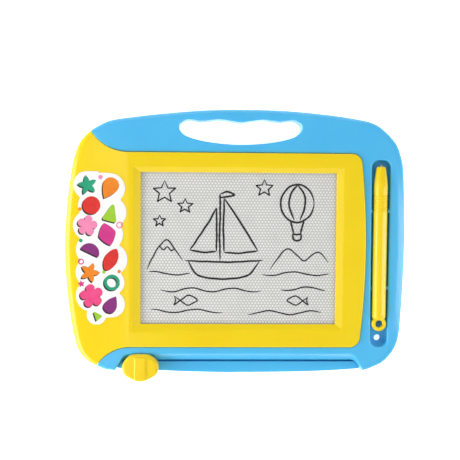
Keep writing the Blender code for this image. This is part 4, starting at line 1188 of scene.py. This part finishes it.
@dataclass
class ScreenPanel:
    """Screen: a cell sheet between two films, with a drawing in iron powder."""

    plan: BoardPlan
    wide: float = 1.5
    thin: float = 1.08
    rise: float = 0.12
    lift: float = 0.02
    sides: int = 8

    def build(self) -> None:
        """Dresses the three sheets and lays the strokes on the cell sheet."""
        dress_nodes(ClearFilm().make(), "screen_front_film", "screen_rear_film")
        dress_nodes(CellSheet().make(), "screen_honeycomb_core")
        dress(self.strokes(), IronPowder().make(), Body.CASE, Slot.CELLS)

    def ribbon(self, path: np.ndarray, width: float) -> np.ndarray:
        """Points of a flat closed tube along a path.

        Its section is an ellipse, width across the path and one rise high, and it narrows
        towards both ends as the root of 1 - 0.96 u to the sixth, where u runs from -1 to 1.

        Args:
            path: the points that the pen's tip followed.
            width: the width of the stroke.

        Returns:
            The points, ring after ring.
        """
        along = np.gradient(path, axis=0)
        along /= np.maximum(np.linalg.norm(along, axis=1)[:, None], 1e-9)
        across = np.stack((along[:, 1], -along[:, 0]), axis=1)
        narrow = np.sqrt(1 - np.abs(np.linspace(-1, 1, len(path))) ** 6 * 0.96)
        angles = 2 * np.pi * np.arange(self.sides) / self.sides
        side = (width / 2 * narrow)[:, None] * np.cos(angles)
        plane = path[:, None, :] + across[:, None, :] * side[..., None]
        level = self.plan.core_top + self.lift + self.rise / 2 * (1 + np.sin(angles))
        height = np.broadcast_to(level, side.shape)[..., None]
        return np.concatenate((plane, height), axis=-1).reshape(-1, 3)

    def curve(self, knots: Sequence[Point], closed: bool = False, steps: int = 14) -> np.ndarray:
        """Smooth path with a slight tremble of the hand, two sines of the length along it.

        Args:
            knots: the points that it passes through, in shares of the window.
            closed: whether it comes back to its start and a little past it.
            steps: the points made in each span.

        Returns:
            The points of the path.
        """
        left, right, foot, top = self.plan.window
        points = np.array((left, foot)) + np.array(knots) * (right - left, top - foot)
        if closed:
            path = smooth_loop(points, steps)
            path = np.concatenate((path, path[:3]))
        else:
            before, after = 2 * points[:1] - points[1:2], 2 * points[-1:] - points[-2:-1]
            path = smooth_loop(np.concatenate((before, points, after)), steps)
            path = path[steps:steps * len(points) + 1]
        length = np.cumsum(np.linalg.norm(np.diff(path, axis=0, prepend=path[:1]), axis=1))
        shake = 0.12 * np.sin(length / 4.1) + 0.08 * np.sin(length / 1.7 + 1.0)
        return path + np.column_stack((shake, -shake))

    def waves(self) -> list[np.ndarray]:
        """Waves of the sea: level + height sin(rate x + shift), between two places across."""
        made = []
        for level, height, rate, shift, start, end, count in (
            (0.335, 0.012, 26, 0, 0.04, 0.25, 9), (0.335, 0.012, 26, 0, 0.62, 0.97, 13),
            (0.225, 0.013, 30, 0, 0.10, 0.62, 20), (0.235, 0.011, 30, 1, 0.72, 0.95, 10),
            (0.085, 0.012, 28, 0, 0.05, 0.42, 15), (0.075, 0.012, 28, 2, 0.55, 0.93, 15),
        ):
            x = np.linspace(start, end, count)
            made.append(self.curve(np.column_stack((x, level + height * np.sin(rate * x + shift)))))
        return made

    def fish(self) -> list[np.ndarray]:
        """Two fish that face each other, each one line from tail to tail."""
        outline = np.array((
            (-1.35, 0.6), (-0.75, 0.0), (0.0, -0.62), (0.7, -0.3), (1.0, 0.0), (0.7, 0.4),
            (0.0, 0.68), (-0.75, 0.0), (-1.35, -0.6), (-1.22, 0.0), (-1.35, 0.6),
        ))
        places = (((0.24, 0.155), (0.05, 0.05)), ((0.80, 0.155), (-0.045, 0.045)))
        return [self.curve(np.array(middle) + outline * size) for middle, size in places]

    def balloon(self) -> list[np.ndarray]:
        """Hot-air balloon: a ring, its seams, its ropes and the basket, each alike on both sides."""
        angles = 2 * np.pi * np.arange(12) / 12
        ring = np.column_stack((0.80 + 0.085 * np.cos(angles), 0.80 + 0.125 * np.sin(angles)))
        seam = ((0.0, 0.925), (0.035, 0.86), (0.04, 0.78), (0.015, 0.69))
        rope = ((0.035, 0.69), (0.025, 0.64), (0.018, 0.605))
        pairs = [self.curve([(0.80 + side * x, y) for x, y in half])
                 for half in (seam, rope) for side in (-1, 1)]
        rim = [(0.775, 0.60), (0.80, 0.596), (0.825, 0.60)]
        basket = [(0.777, 0.60), (0.782, 0.565), (0.80, 0.555), (0.818, 0.565), (0.823, 0.60)]
        return [self.curve(ring, True), *pairs, self.curve(rim), self.curve(basket)]

    def stars(self) -> list[np.ndarray]:
        """Four stars, each a zigzag of ten straight lines whose inner tips are at 0.45 reach."""
        made = []
        tip, fine = np.arange(11), np.linspace(0, 10, 61)
        turn = np.pi / 2 + np.pi * tip / 5
        for x, y, size in ((0.12, 0.87, 0.06), (0.225, 0.78, 0.04), (0.63, 0.90, 0.045),
                           (0.095, 0.68, 0.032)):
            reach = np.where(tip % 2 == 0, size, size * 0.45)
            tips = (x + reach * np.cos(turn), y + 1.28 * reach * np.sin(turn))
            made.append(self.curve(np.column_stack([np.interp(fine, tip, axis) for axis in tips])))
        return made

    def drawing(self) -> list[tuple[np.ndarray, float]]:
        """Paths and widths of a sailing boat on waves, fish, hills, a balloon and stars."""
        boat = (
            [(0.24, 0.42), (0.28, 0.335), (0.34, 0.305), (0.46, 0.30), (0.55, 0.325), (0.61, 0.42)],
            [(0.225, 0.42), (0.35, 0.412), (0.50, 0.412), (0.625, 0.424)],
            [(0.405, 0.42), (0.403, 0.60), (0.405, 0.80), (0.404, 0.86)],
            [(0.425, 0.83), (0.485, 0.72), (0.545, 0.60), (0.60, 0.485)],
            [(0.425, 0.475), (0.51, 0.47), (0.60, 0.485)],
            [(0.425, 0.475), (0.422, 0.65), (0.425, 0.83)],
            [(0.385, 0.77), (0.34, 0.66), (0.29, 0.565), (0.25, 0.49)],
            [(0.25, 0.49), (0.32, 0.475), (0.385, 0.478)],
            [(0.385, 0.478), (0.388, 0.62), (0.385, 0.77)],
            [(0.405, 0.86), (0.44, 0.875), (0.475, 0.855), (0.44, 0.84), (0.405, 0.835)],
        )
        hills = (
            [(0.03, 0.36), (0.06, 0.44), (0.10, 0.52), (0.135, 0.555), (0.17, 0.50), (0.215, 0.42)],
            [(0.66, 0.36), (0.71, 0.45), (0.755, 0.50), (0.80, 0.46), (0.84, 0.42), (0.88, 0.46),
             (0.92, 0.475), (0.965, 0.41)],
            [(0.095, 0.515), (0.115, 0.49), (0.135, 0.51), (0.155, 0.485), (0.172, 0.497)],
        )
        groups = (
            (self.waves() + self.fish(), self.thin),
            ([self.curve(knots) for knots in boat] + self.balloon(), self.wide),
            ([self.curve(knots) for knots in hills] + self.stars(), self.thin),
        )
        return [(path, width) for paths, width in groups for path in paths]

    def strokes(self) -> Piece:
        """All strokes of the drawing as one mesh of closed ribbons."""
        points, faces, start = [], [], 0
        for path, width in self.drawing():
            points.append(self.ribbon(path, width))
            faces += [face[::-1] for face in tube_faces(len(path), self.sides, start)]
            start += len(points[-1])
        return mesh_piece("powder_drawing", np.concatenate(points), faces)


class Motif(Enum):
    """Shapes printed on the label."""

    STAR = "star"
    DISC = "disc"
    RING = "ring"
    DROP = "drop"
    BLOSSOM = "blossom"
    DIAMOND = "diamond"
    HALF = "half"
    LEAF = "leaf"
    CONE = "cone"


def motif_outline(motif: Motif) -> Loop:
    """Outline of a motif about the origin, 1 across, from its polar or plane formula.

    A star's radius is a zigzag of the angle to the power 1.15. A blossom has radius
    0.27 + 0.23 root |cos 2.5 a|. A drop has x = 0.46 sin a sin a/2 and y = -0.5 cos a. A
    diamond is a superellipse. A leaf is x = 0.5 cos a and y = 0.27 sin a root |sin a|. A ring
    is two arcs, one each way. A half disc and a cone are rounded polygons.

    Args:
        motif: which shape.

    Returns:
        The points of the outline.
    """
    a = 2 * np.pi * np.arange(120) / 120
    disc = np.column_stack((np.cos(a), np.sin(a)))
    x, y = disc.T
    if motif is Motif.STAR:
        radius = 0.23 + 0.27 * np.abs(((a * 5 / np.pi) % 2) - 1) ** 1.15
        return np.column_stack((-radius * y, radius * x))
    if motif is Motif.BLOSSOM:
        return disc * (0.27 + 0.23 * np.sqrt(np.abs(np.cos(2.5 * a))))[:, None]
    if motif is Motif.DROP:
        return np.column_stack((0.46 * np.sin(a) * np.sin(a / 2), -0.5 * np.cos(a)))
    if motif is Motif.DIAMOND:
        return np.sign(disc) * np.abs(disc) ** (2 / 1.3) * (0.38, 0.5)
    if motif is Motif.HALF:
        return rounded(arc((0.0, -0.18), 0.46, 0, math.pi, 12), 0.06, [0] * 13, 8)
    if motif is Motif.RING:
        gap = math.radians(1.0)
        outer = arc((0.0, 0.0), 0.48, gap, 2 * math.pi - 2 * gap, 60)
        return np.concatenate((outer, 0.62 * outer[::-1]))
    if motif is Motif.LEAF:
        return np.column_stack((0.5 * x, 0.27 * y * np.sqrt(np.abs(y))))
    if motif is Motif.CONE:
        return rounded(((-0.36, -0.42), (0.36, -0.42), (0.0, 0.5)), 0.08, [0] * 3, 12)
    return 0.48 * disc


@dataclass(frozen=True)
class Print:
    """One shape on the label: its place from the label's middle, its size, turn and ink."""

    motif: Motif
    x: float
    y: float
    size: float
    turn: float
    ink: str
    shadow: bool = True

    def loop(self, middle: Point, slide: float = 0.0) -> Loop:
        """Outline in place, turned and slid down to the left, running anticlockwise.

        Args:
            middle: the label's middle.
            slide: how far it is slid along each axis.

        Returns:
            The points.
        """
        angle = math.radians(self.turn)
        spin = np.array(((math.cos(angle), -math.sin(angle)), (math.sin(angle), math.cos(angle))))
        place = (middle[0] + self.x - slide, middle[1] + self.y - slide)
        loop = motif_outline(self.motif) * self.size @ spin.T + np.array(place)
        after = np.roll(loop, -1, axis=0)
        area = np.sum(loop[:, 0] * after[:, 1] - loop[:, 1] * after[:, 0])
        return loop if area > 0 else loop[::-1]


@dataclass
class Label:
    """Die-cut label on the left panel: a white lobed sheet with printed shapes."""

    plan: BoardPlan
    middle: Point = (-102.65, -1.8)
    thickness: float = 0.22
    lift: float = 0.06
    border: float = 3.2
    shadow_slide: float = 0.85
    sheet: PrintedVinyl = PrintedVinyl("white_vinyl_label", "FBFAF8", "F8F6F4")
    prints: tuple[Print, ...] = (
        Print(Motif.STAR, -9.4, 47.6, 15.0, 12.0, "teal"),
        Print(Motif.DROP, 7.2, 45.2, 17.0, -28.0, "orange"),
        Print(Motif.DISC, -6.4, 32.4, 14.0, 0.0, "red"),
        Print(Motif.CONE, 8.6, 27.2, 16.5, -14.0, "lime"),
        Print(Motif.BLOSSOM, -9.6, 17.0, 15.5, 8.0, "pink"),
        Print(Motif.DIAMOND, 5.6, 10.6, 17.5, 18.0, "magenta"),
        Print(Motif.HALF, -6.8, -1.2, 16.5, -25.0, "purple"),
        Print(Motif.LEAF, 8.4, -8.6, 18.5, 62.0, "red"),
        Print(Motif.STAR, -7.6, -18.6, 15.5, -20.0, "orange"),
        Print(Motif.RING, 9.2, -26.0, 12.5, 0.0, "teal"),
        Print(Motif.BLOSSOM, -6.2, -36.4, 18.0, 30.0, "coral"),
        Print(Motif.DROP, 8.8, -42.6, 14.0, 150.0, "purple"),
        Print(Motif.CONE, -2.6, -51.0, 8.5, 40.0, "lime"),
        Print(Motif.DISC, 0.4, 53.6, 3.4, 0.0, "pink", False),
        Print(Motif.RING, 14.8, 17.6, 5.4, 0.0, "pink", False),
        Print(Motif.DISC, -15.2, 29.4, 2.8, 0.0, "orange", False),
        Print(Motif.DISC, -14.6, 5.6, 3.0, 0.0, "teal", False),
        Print(Motif.RING, -14.4, -10.4, 4.8, 0.0, "magenta", False),
        Print(Motif.DISC, 3.0, -18.2, 2.6, 0.0, "lime", False),
        Print(Motif.DISC, 14.6, -17.6, 2.8, 0.0, "orange", False),
        Print(Motif.STAR, -14.2, -27.4, 5.4, 10.0, "magenta", False),
    )
    inks: dict[str, tuple[str, str]] = field(default_factory=lambda: {
        "teal": ("26A57C", "229C73"), "orange": ("F28A1E", "EC8216"), "red": ("E0332A", "D62A24"),
        "lime": ("A4D233", "9ACA2C"), "pink": ("F58FB8", "EF86B0"), "magenta": ("D8398F", "CF3186"),
        "purple": ("8A2F7E", "822A76"), "coral": ("F0508A", "E84882"), "black": ("161416", "1D1B1D"),
    })

    def build(self) -> None:
        """Lays the sheet on the panel and the prints on the sheet."""
        dress(self.backing(), self.sheet.make(), Body.CASE, Slot.VINYL, "sticker")
        looks = [PrintedVinyl(f"{name}_ink", *pair).make() for name, pair in self.inks.items()]
        dress(self.printed(), looks, Body.CASE, Slot.VINYL)

    def big(self) -> list[Print]:
        """Prints that have a shadow, which the sheet is cut round."""
        return [one for one in self.prints if one.shadow]

    def side(self, y: np.ndarray, hand: int) -> np.ndarray:
        """Edge of the lobed sheet at height y: the outermost of a circle round each print.

        The circles are joined by a soft maximum, log of the sum of exponentials over 0.8 mm.

        Args:
            y: heights from the label's middle.
            hand: -1 for the left edge and 1 for the right.

        Returns:
            Where the edge is on X, from the label's middle.
        """
        x, centre, size = np.array([(one.x, one.y, one.size) for one in self.big()]).T[:, :, None]
        radius, blend = size / 2 + self.border, 0.8
        gap = np.abs(y[None, :] - centre) / radius
        reach = hand * x + radius * np.sqrt(np.clip(1 - gap**2, 0, None))
        fade = np.clip((1.0 - gap) * 8, 1e-6, 1)
        return hand * blend * np.log(np.sum(fade * np.exp(np.clip(reach, -30, 30) / blend), axis=0))

    def backing(self) -> Piece:
        """White sheet as a grid from edge to edge, whose level follows the panel's fall.

        A point is (left(v) + u (right(v) - left(v)), v), and the top lies a thickness higher.
        """
        rows, columns, margin = 360, 22, self.border - 0.3
        top = max(one.y + one.size / 2 for one in self.big()) + margin
        foot = min(one.y - one.size / 2 for one in self.big()) - margin
        v = foot + (top - foot) * (1 - np.cos(np.linspace(0, np.pi, rows))) / 2
        left, right = self.side(v, -1)[:, None], self.side(v, 1)[:, None]
        x = self.middle[0] + left + np.linspace(0, 1, columns) * (right - left)
        y = self.middle[1] + np.broadcast_to(v[:, None], x.shape)
        base = self.plan.frame_top - self.plan.panel_drop(x) + self.lift
        low = np.stack((x, y, base), axis=-1).reshape(-1, 3)
        high = low + (0, 0, self.thickness)
        grid = np.arange(rows * columns).reshape(rows, columns)
        quads = np.stack((grid[:-1, :-1], grid[:-1, 1:], grid[1:, 1:], grid[1:, :-1]), axis=-1)
        quads = quads.reshape(-1, 4)
        edge = np.concatenate((grid[0], grid[1:, -1], grid[-1, -2::-1], grid[-2:0:-1, 0]))
        after = np.roll(edge, -1)
        rim = np.stack((edge, after, after + grid.size, edge + grid.size), axis=1)
        faces = [*quads[:, ::-1].tolist(), *(quads + grid.size).tolist(), *rim.tolist()]
        return mesh_piece("label_sheet", np.concatenate((low, high)), faces)

    def printed(self) -> Piece:
        """All prints as one mesh of thin flat shapes on the sheet, with their black shadows."""
        points, faces, inks, start = [], [], [], 0
        names, plan = list(self.inks), self.plan
        sink, shadow_rise, ink_rise = 0.02, 0.015, 0.03
        layers = [(one.loop(self.middle, self.shadow_slide), shadow_rise, "black")
                  for one in self.big()]
        layers += [(one.loop(self.middle), ink_rise, one.ink) for one in self.prints]
        for loop, rise, ink in layers:
            level = plan.frame_top - plan.panel_drop(loop[:, 0]) + self.lift + self.thickness
            points += [np.column_stack((loop, level + z)) for z in (-sink, rise)]
            faces += tube_faces(2, len(loop), start)
            inks += [names.index(ink)] * (len(loop) + 2)
            start += 2 * len(loop)
        piece = mesh_piece("label_prints", np.concatenate(points), faces)
        piece.data.polygons.foreach_set("material_index", np.array(inks, dtype=np.int32))
        return piece


@dataclass
class EraserSlider:
    """Eraser: the thumb knob, the carriage behind the screen and its magnet strip."""

    plan: BoardPlan
    look: Look
    width: float = 27.8
    length: float = 21.3
    foot_y: float = -103.8
    crest_y: float = -82.5
    bottom: float = 9.5
    top: float = 20.1
    rib_top: float = 20.9
    rib_width: float = 9.3
    rib_run: float = 1.6
    rib_inset: float = 0.4
    rib_round: float = 1.8
    edge_round: float = 2.6
    foot_edge: float = 0.9
    blade_halves: Point = (7.0, 0.4)
    blade_foot: float = 4.0
    shares: tuple[Point, ...] = (
        (0.0, 0.0), (0.110, 0.014), (0.205, 0.066), (0.325, 0.145), (0.410, 0.217), (0.470, 0.310),
        (0.500, 0.455), (0.490, 0.620), (0.447, 0.725), (0.385, 0.835), (0.310, 0.920),
        (0.225, 0.982), (0.120, 1.000),
    )

    def build(self) -> None:
        """Makes the knob and dresses the carriage and the strip."""
        dress(self.knob(), self.look, Body.ERASER, Slot.YELLOW, "eraser_knob", crease=38.0)
        white = MouldedPlastic("natural_white_abs", "E9E9E4", "E4E4DE", roughness=0.42)
        dress_nodes(white.make(), "eraser_carriage")
        dress_nodes(SinteredMagnet("rubber_bound_magnet").make(), "eraser_magnet_strip")

    def outline(self, inwards: float = 0.0) -> Loop:
        """Knob seen from above.

        Args:
            inwards: how far it moves inwards.

        Returns:
            The points.
        """
        knots = [*self.shares, *((-x, y) for x, y in self.shares[:0:-1])]
        middle = self.plan.window[0]
        points = [(middle + x * self.width, self.foot_y + y * self.length) for x, y in knots]
        return inset(smooth_loop(points, 6), inwards)

    def knob(self) -> Piece:
        """Knob with broad rounding, a raised thumb rib, a sloping back and the slot blade."""
        plan, middle = self.plan, self.plan.window[0]
        knob = ring_solid("eraser_knob_grip", [
            *foot_round(self.outline, self.bottom, self.foot_edge, 4),
            *head_round(self.outline, self.top, self.edge_round, 10),
        ])
        combine(knob, Operation.JOIN, self.rib(middle, self.rib_width / 2))
        slope = (plan.housing_top - plan.slope_foot) / plan.bay_run
        foot_y, far_y = plan.slot_top_y - 1.5, self.crest_y + 5
        under, over = plan.slope_foot - 5, plan.housing_top + 0.5
        cut(knob, section_solid("back", np.array((
            (foot_y, under), (far_y, under), (far_y, over),
            (foot_y + (over - plan.slope_foot) / slope, over), (foot_y, plan.slope_foot),
        )), "X", middle - 30, middle + 30))
        y, (half, thin) = (plan.slot_top_y + plan.slot_foot_y) / 2, self.blade_halves
        blade = rectangle(middle - half, middle + half, y - thin, y + thin)
        return combine(knob, Operation.JOIN, prism(blade, self.blade_foot, self.bottom + 1))

    def rib(self, middle: float, half: float) -> Piece:
        """Thumb rib: a rounded bar along Y, kept within the knob's outline.

        Its section is flat between two quarters of an ellipse, each rib_run wide.

        Args:
            middle: its middle on X.
            half: half its width.

        Returns:
            The bar.
        """
        run, rise, turn = self.rib_run, self.rib_top - self.top + 0.3, quarter(6)
        right = np.column_stack((middle + half - run + run * np.cos(turn),
                                 self.rib_top - rise + rise * np.sin(turn)))
        left = np.column_stack((2 * middle - right[::-1, 0], right[::-1, 1]))
        foot = [(middle + side * half, self.bottom + 2) for side in (-1, 1)]
        section = np.concatenate((foot, right, left))
        bar = section_solid("rib", section, "Y", self.foot_y - 5, self.crest_y - 2.3)
        envelope = ring_solid("envelope", [
            (self.outline(self.rib_inset), self.bottom),
            *head_round(lambda inwards: self.outline(self.rib_inset + inwards), self.rib_top,
                        self.rib_round, 6),
        ])
        return combine(bar, Operation.COMMON, envelope)


@dataclass
class DrawingPen:
    """Magnet pen: the barrel with its grip rings and cord eye, the nib and the magnet."""

    plan: BoardPlan
    look: Look
    tip_y: float = 63.4
    foot_y: float = -64.8
    radius: float = 5.3
    axis_z: float = 15.1
    eye_radius: float = 5.6
    eye_hole: float = 2.75
    eye_thickness: float = 4.6
    eye_round: float = 1.1
    eye_flare: float = 0.8
    nose_length: float = 16.0
    grips_from: float = 21.0
    grip_pitch: float = 2.2
    grip_depth: float = 0.3
    shoulder: float = 3.4
    bore: Point = (2.1, 12.6)
    taper: tuple[Point, ...] = (
        (0.0, 0.54), (0.015, 0.59), (0.03, 0.62), (0.10, 0.70), (0.17, 0.735), (0.26, 0.77),
        (0.42, 0.84), (0.60, 0.91), (0.78, 0.965), (0.9, 0.99), (1.0, 1.0),
    )

    def build(self) -> None:
        """Makes the barrel and dresses the nib and the magnet."""
        dress(self.barrel(), self.look, Body.PEN, Slot.YELLOW, "pen_barrel", crease=40.0)
        nib = MachinedMetal("turned_bright_steel", "C4C7CA", "B4B7BB", 0.22, 0.2, (0.3, 1.0, 0.3))
        dress_nodes(nib.make(), "pen_nib")
        dress_nodes(SinteredMagnet("sintered_ferrite").make(), "pen_magnet")

    def barrel(self) -> Piece:
        """Barrel turned about its own line, with a flat eye joined on and the nib's bore cut.

        The nose widens through measured shares of the radius. The six grip rings are dips of
        half their depth times (1 - cos). The shoulder is a quarter of an ellipse.
        """
        nose, r, half = self.tip_y - 2.0, self.radius, self.eye_thickness / 2
        fine = np.linspace(0, 1, 40) ** 1.4
        front = np.column_stack((nose - self.nose_length * fine,
                                 r * np.interp(fine, *np.array(self.taper).T)))
        t, turn = np.linspace(0, 6, 73), quarter(10)
        grips = np.column_stack((nose - self.grips_from - self.grip_pitch * t,
                                 r - self.grip_depth / 2 * (1 - np.cos(2 * np.pi * t))))
        eye_y = self.foot_y + self.eye_radius
        back = np.column_stack((eye_y + self.eye_hole + self.shoulder * (1 - np.sin(turn)),
                                half + (r - half) * np.cos(turn)))
        line = self.plan.tray_x, self.axis_z
        barrel = turned("pen_barrel_body", np.concatenate((front, grips, back)), *line, 56)
        combine(barrel, Operation.JOIN, self.eye(eye_y, half))
        radius, depth = self.bore
        bore = turned("bore", np.array(((nose + 5, radius), (nose - depth, radius))), *line, 32)
        return cut(barrel, self.eye_cutter(eye_y, half), bore)

    def eye(self, y: float, half: float) -> Piece:
        """Flat eye, a disc whose two edges are quarter rounds.

        Args:
            y: the middle of the eye.
            half: half its thickness.

        Returns:
            The disc.
        """
        def loop_at(inwards: float) -> Loop:
            """Edge of the eye, moved inwards."""
            return circle(self.plan.tray_x, y, self.eye_radius - inwards, 56)

        return ring_solid("eye", [
            *foot_round(loop_at, self.axis_z - half, self.eye_round, 5),
            *head_round(loop_at, self.axis_z + half, self.eye_round, 5),
        ])

    def eye_cutter(self, y: float, half: float) -> Piece:
        """Cutter through the eye that flares in a quarter round at both faces.

        Args:
            y: the middle of the eye.
            half: half its thickness.

        Returns:
            The tool.
        """
        def loop_at(grow: float) -> Loop:
            """Edge of the hole, grown."""
            return circle(self.plan.tray_x, y, self.eye_hole + grow, 48)

        low, high, flare = self.axis_z - half, self.axis_z + half, self.eye_flare
        return ring_solid("eye_hole", [
            (loop_at(flare), low - 2), *foot_round(loop_at, low, flare, 4),
            *head_round(loop_at, high, flare, 4), (loop_at(flare), high + 2),
        ])


@dataclass
class CaseScrews:
    """Zinc-plated pan-head screws that close the case from behind."""

    finish: MachinedMetal = MachinedMetal("zinc_plated_steel", "B4B9BE", "A3A8AE", 0.3, 0.3)

    def build(self) -> None:
        """Dresses every screw of the case."""
        screws = [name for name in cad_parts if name.startswith("case_screw_")]
        dress_nodes(self.finish.make(), *screws)


@dataclass
class Studio:
    """White floor, soft lights and the camera of the photograph."""

    camera_place: Triple = (-26.5, 45.45, 650.9)
    camera_turn: Triple = (-2.99, -1.98, 0.456)
    camera_lens: float = 65.45
    overhead: float = 0.28
    lights: tuple[tuple[str, Triple, Point, float], ...] = (
        ("key_softbox", (-740, -230, 330), (900, 420), 6.2),
        ("near_softbox", (40, -640, 790), (600, 260), 0.42),
        ("near_strip", (0, -640, 560), (600, 80), 0.6),
        ("right_softbox", (700, -70, 400), (240, 800), 2.4),
        ("right_strip", (390, -60, 880), (600, 90), 0.16),
        ("left_strip", (-260, -60, 900), (600, 110), 0.3),
        ("far_strip", (0, 860, 640), (900, 160), 2.6),
    )

    def build(self) -> None:
        """Sets up the floor, the lights, the world and the camera."""
        self.floor()
        for name, place_mm, size_mm, power in self.lights:
            self.light(name, place_mm, size_mm, power)
        self.world()
        self.camera()
        bpy.context.scene.view_settings.view_transform = "Standard"
        LOG.info("studio: floor, %d lights, world and camera", len(self.lights))

    def floor(self) -> None:
        """Flat floor just under the board's back."""
        half = 60000.0
        corners = np.column_stack((rectangle(-half, half, -half, half), np.full(4, -0.05)))
        piece = mesh_piece("studio_floor", corners, [[0, 1, 2, 3]])
        piece.data.materials.append(PaleCove().make())

    def light(self, name: str, place_mm: Triple, size_mm: Point, power: float) -> None:
        """Rectangular area light that faces the board.

        Args:
            name: the name of the light.
            place_mm: where it hangs.
            size_mm: its length across and its height.
            power: its power in watts.
        """
        lamp = bpy.data.lights.new(name, "AREA")
        lamp.shape, lamp.energy = "RECTANGLE", power
        lamp.size, lamp.size_y = (side * MM for side in size_mm)
        holder = bpy.data.objects.new(name, lamp)
        holder.location = Vector(place_mm) * MM
        holder.rotation_euler = (-holder.location).to_track_quat("-Z", "Y").to_euler()
        bpy.context.scene.collection.objects.link(holder)

    def world(self) -> None:
        """White room that is darker overhead, where its light would only veil the colours."""
        world = bpy.data.worlds.new("white_room")
        world.use_nodes = True
        tree = world.node_tree
        way = add_node(tree, "TexCoord").outputs["Generated"]
        rise = add_node(tree, "SeparateXYZ", {}, {0: way}).outputs["Z"]
        level = add_node(tree, "MapRange", {2: 0.3, 3: 1.0, 4: self.overhead}, {0: rise})
        settle(tree, tree.nodes["Background"], {"Color": linear("FFFFFF")}, {"Strength": level})
        bpy.context.scene.world = world

    def camera(self) -> None:
        """Camera fitted to the window's corners and the board's outline in the photograph."""
        lens = bpy.data.cameras.new("photo_camera")
        lens.lens, lens.sensor_width = self.camera_lens, 36.0
        lens.clip_start, lens.clip_end = 0.01, 200.0
        holder = bpy.data.objects.new("photo_camera", lens)
        turn = Euler([math.radians(angle) for angle in self.camera_turn], "XYZ").to_matrix().to_4x4()
        holder.matrix_world = Matrix.Translation(Vector(self.camera_place) * MM) @ turn
        bpy.context.scene.collection.objects.link(holder)
        bpy.context.scene.camera = holder


def main() -> None:
    """Builds the sub-assemblies in order."""
    logging.basicConfig(level=logging.INFO, format="%(name)s: %(message)s")
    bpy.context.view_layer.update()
    plan = BoardPlan()
    yellow = MouldedPlastic("yellow_moulded_abs", "FFDB13", "FDD80F", (1.0, 0.7, 0.1)).make()
    Case(plan).build()
    ScreenFrame(plan, yellow).build()
    ScreenPanel(plan).build()
    Label(plan).build()
    EraserSlider(plan, yellow).build()
    DrawingPen(plan, yellow).build()
    CaseScrews().build()
    Studio().build()
    bpy.context.view_layer.update()


if __name__ == "__main__":
    main()
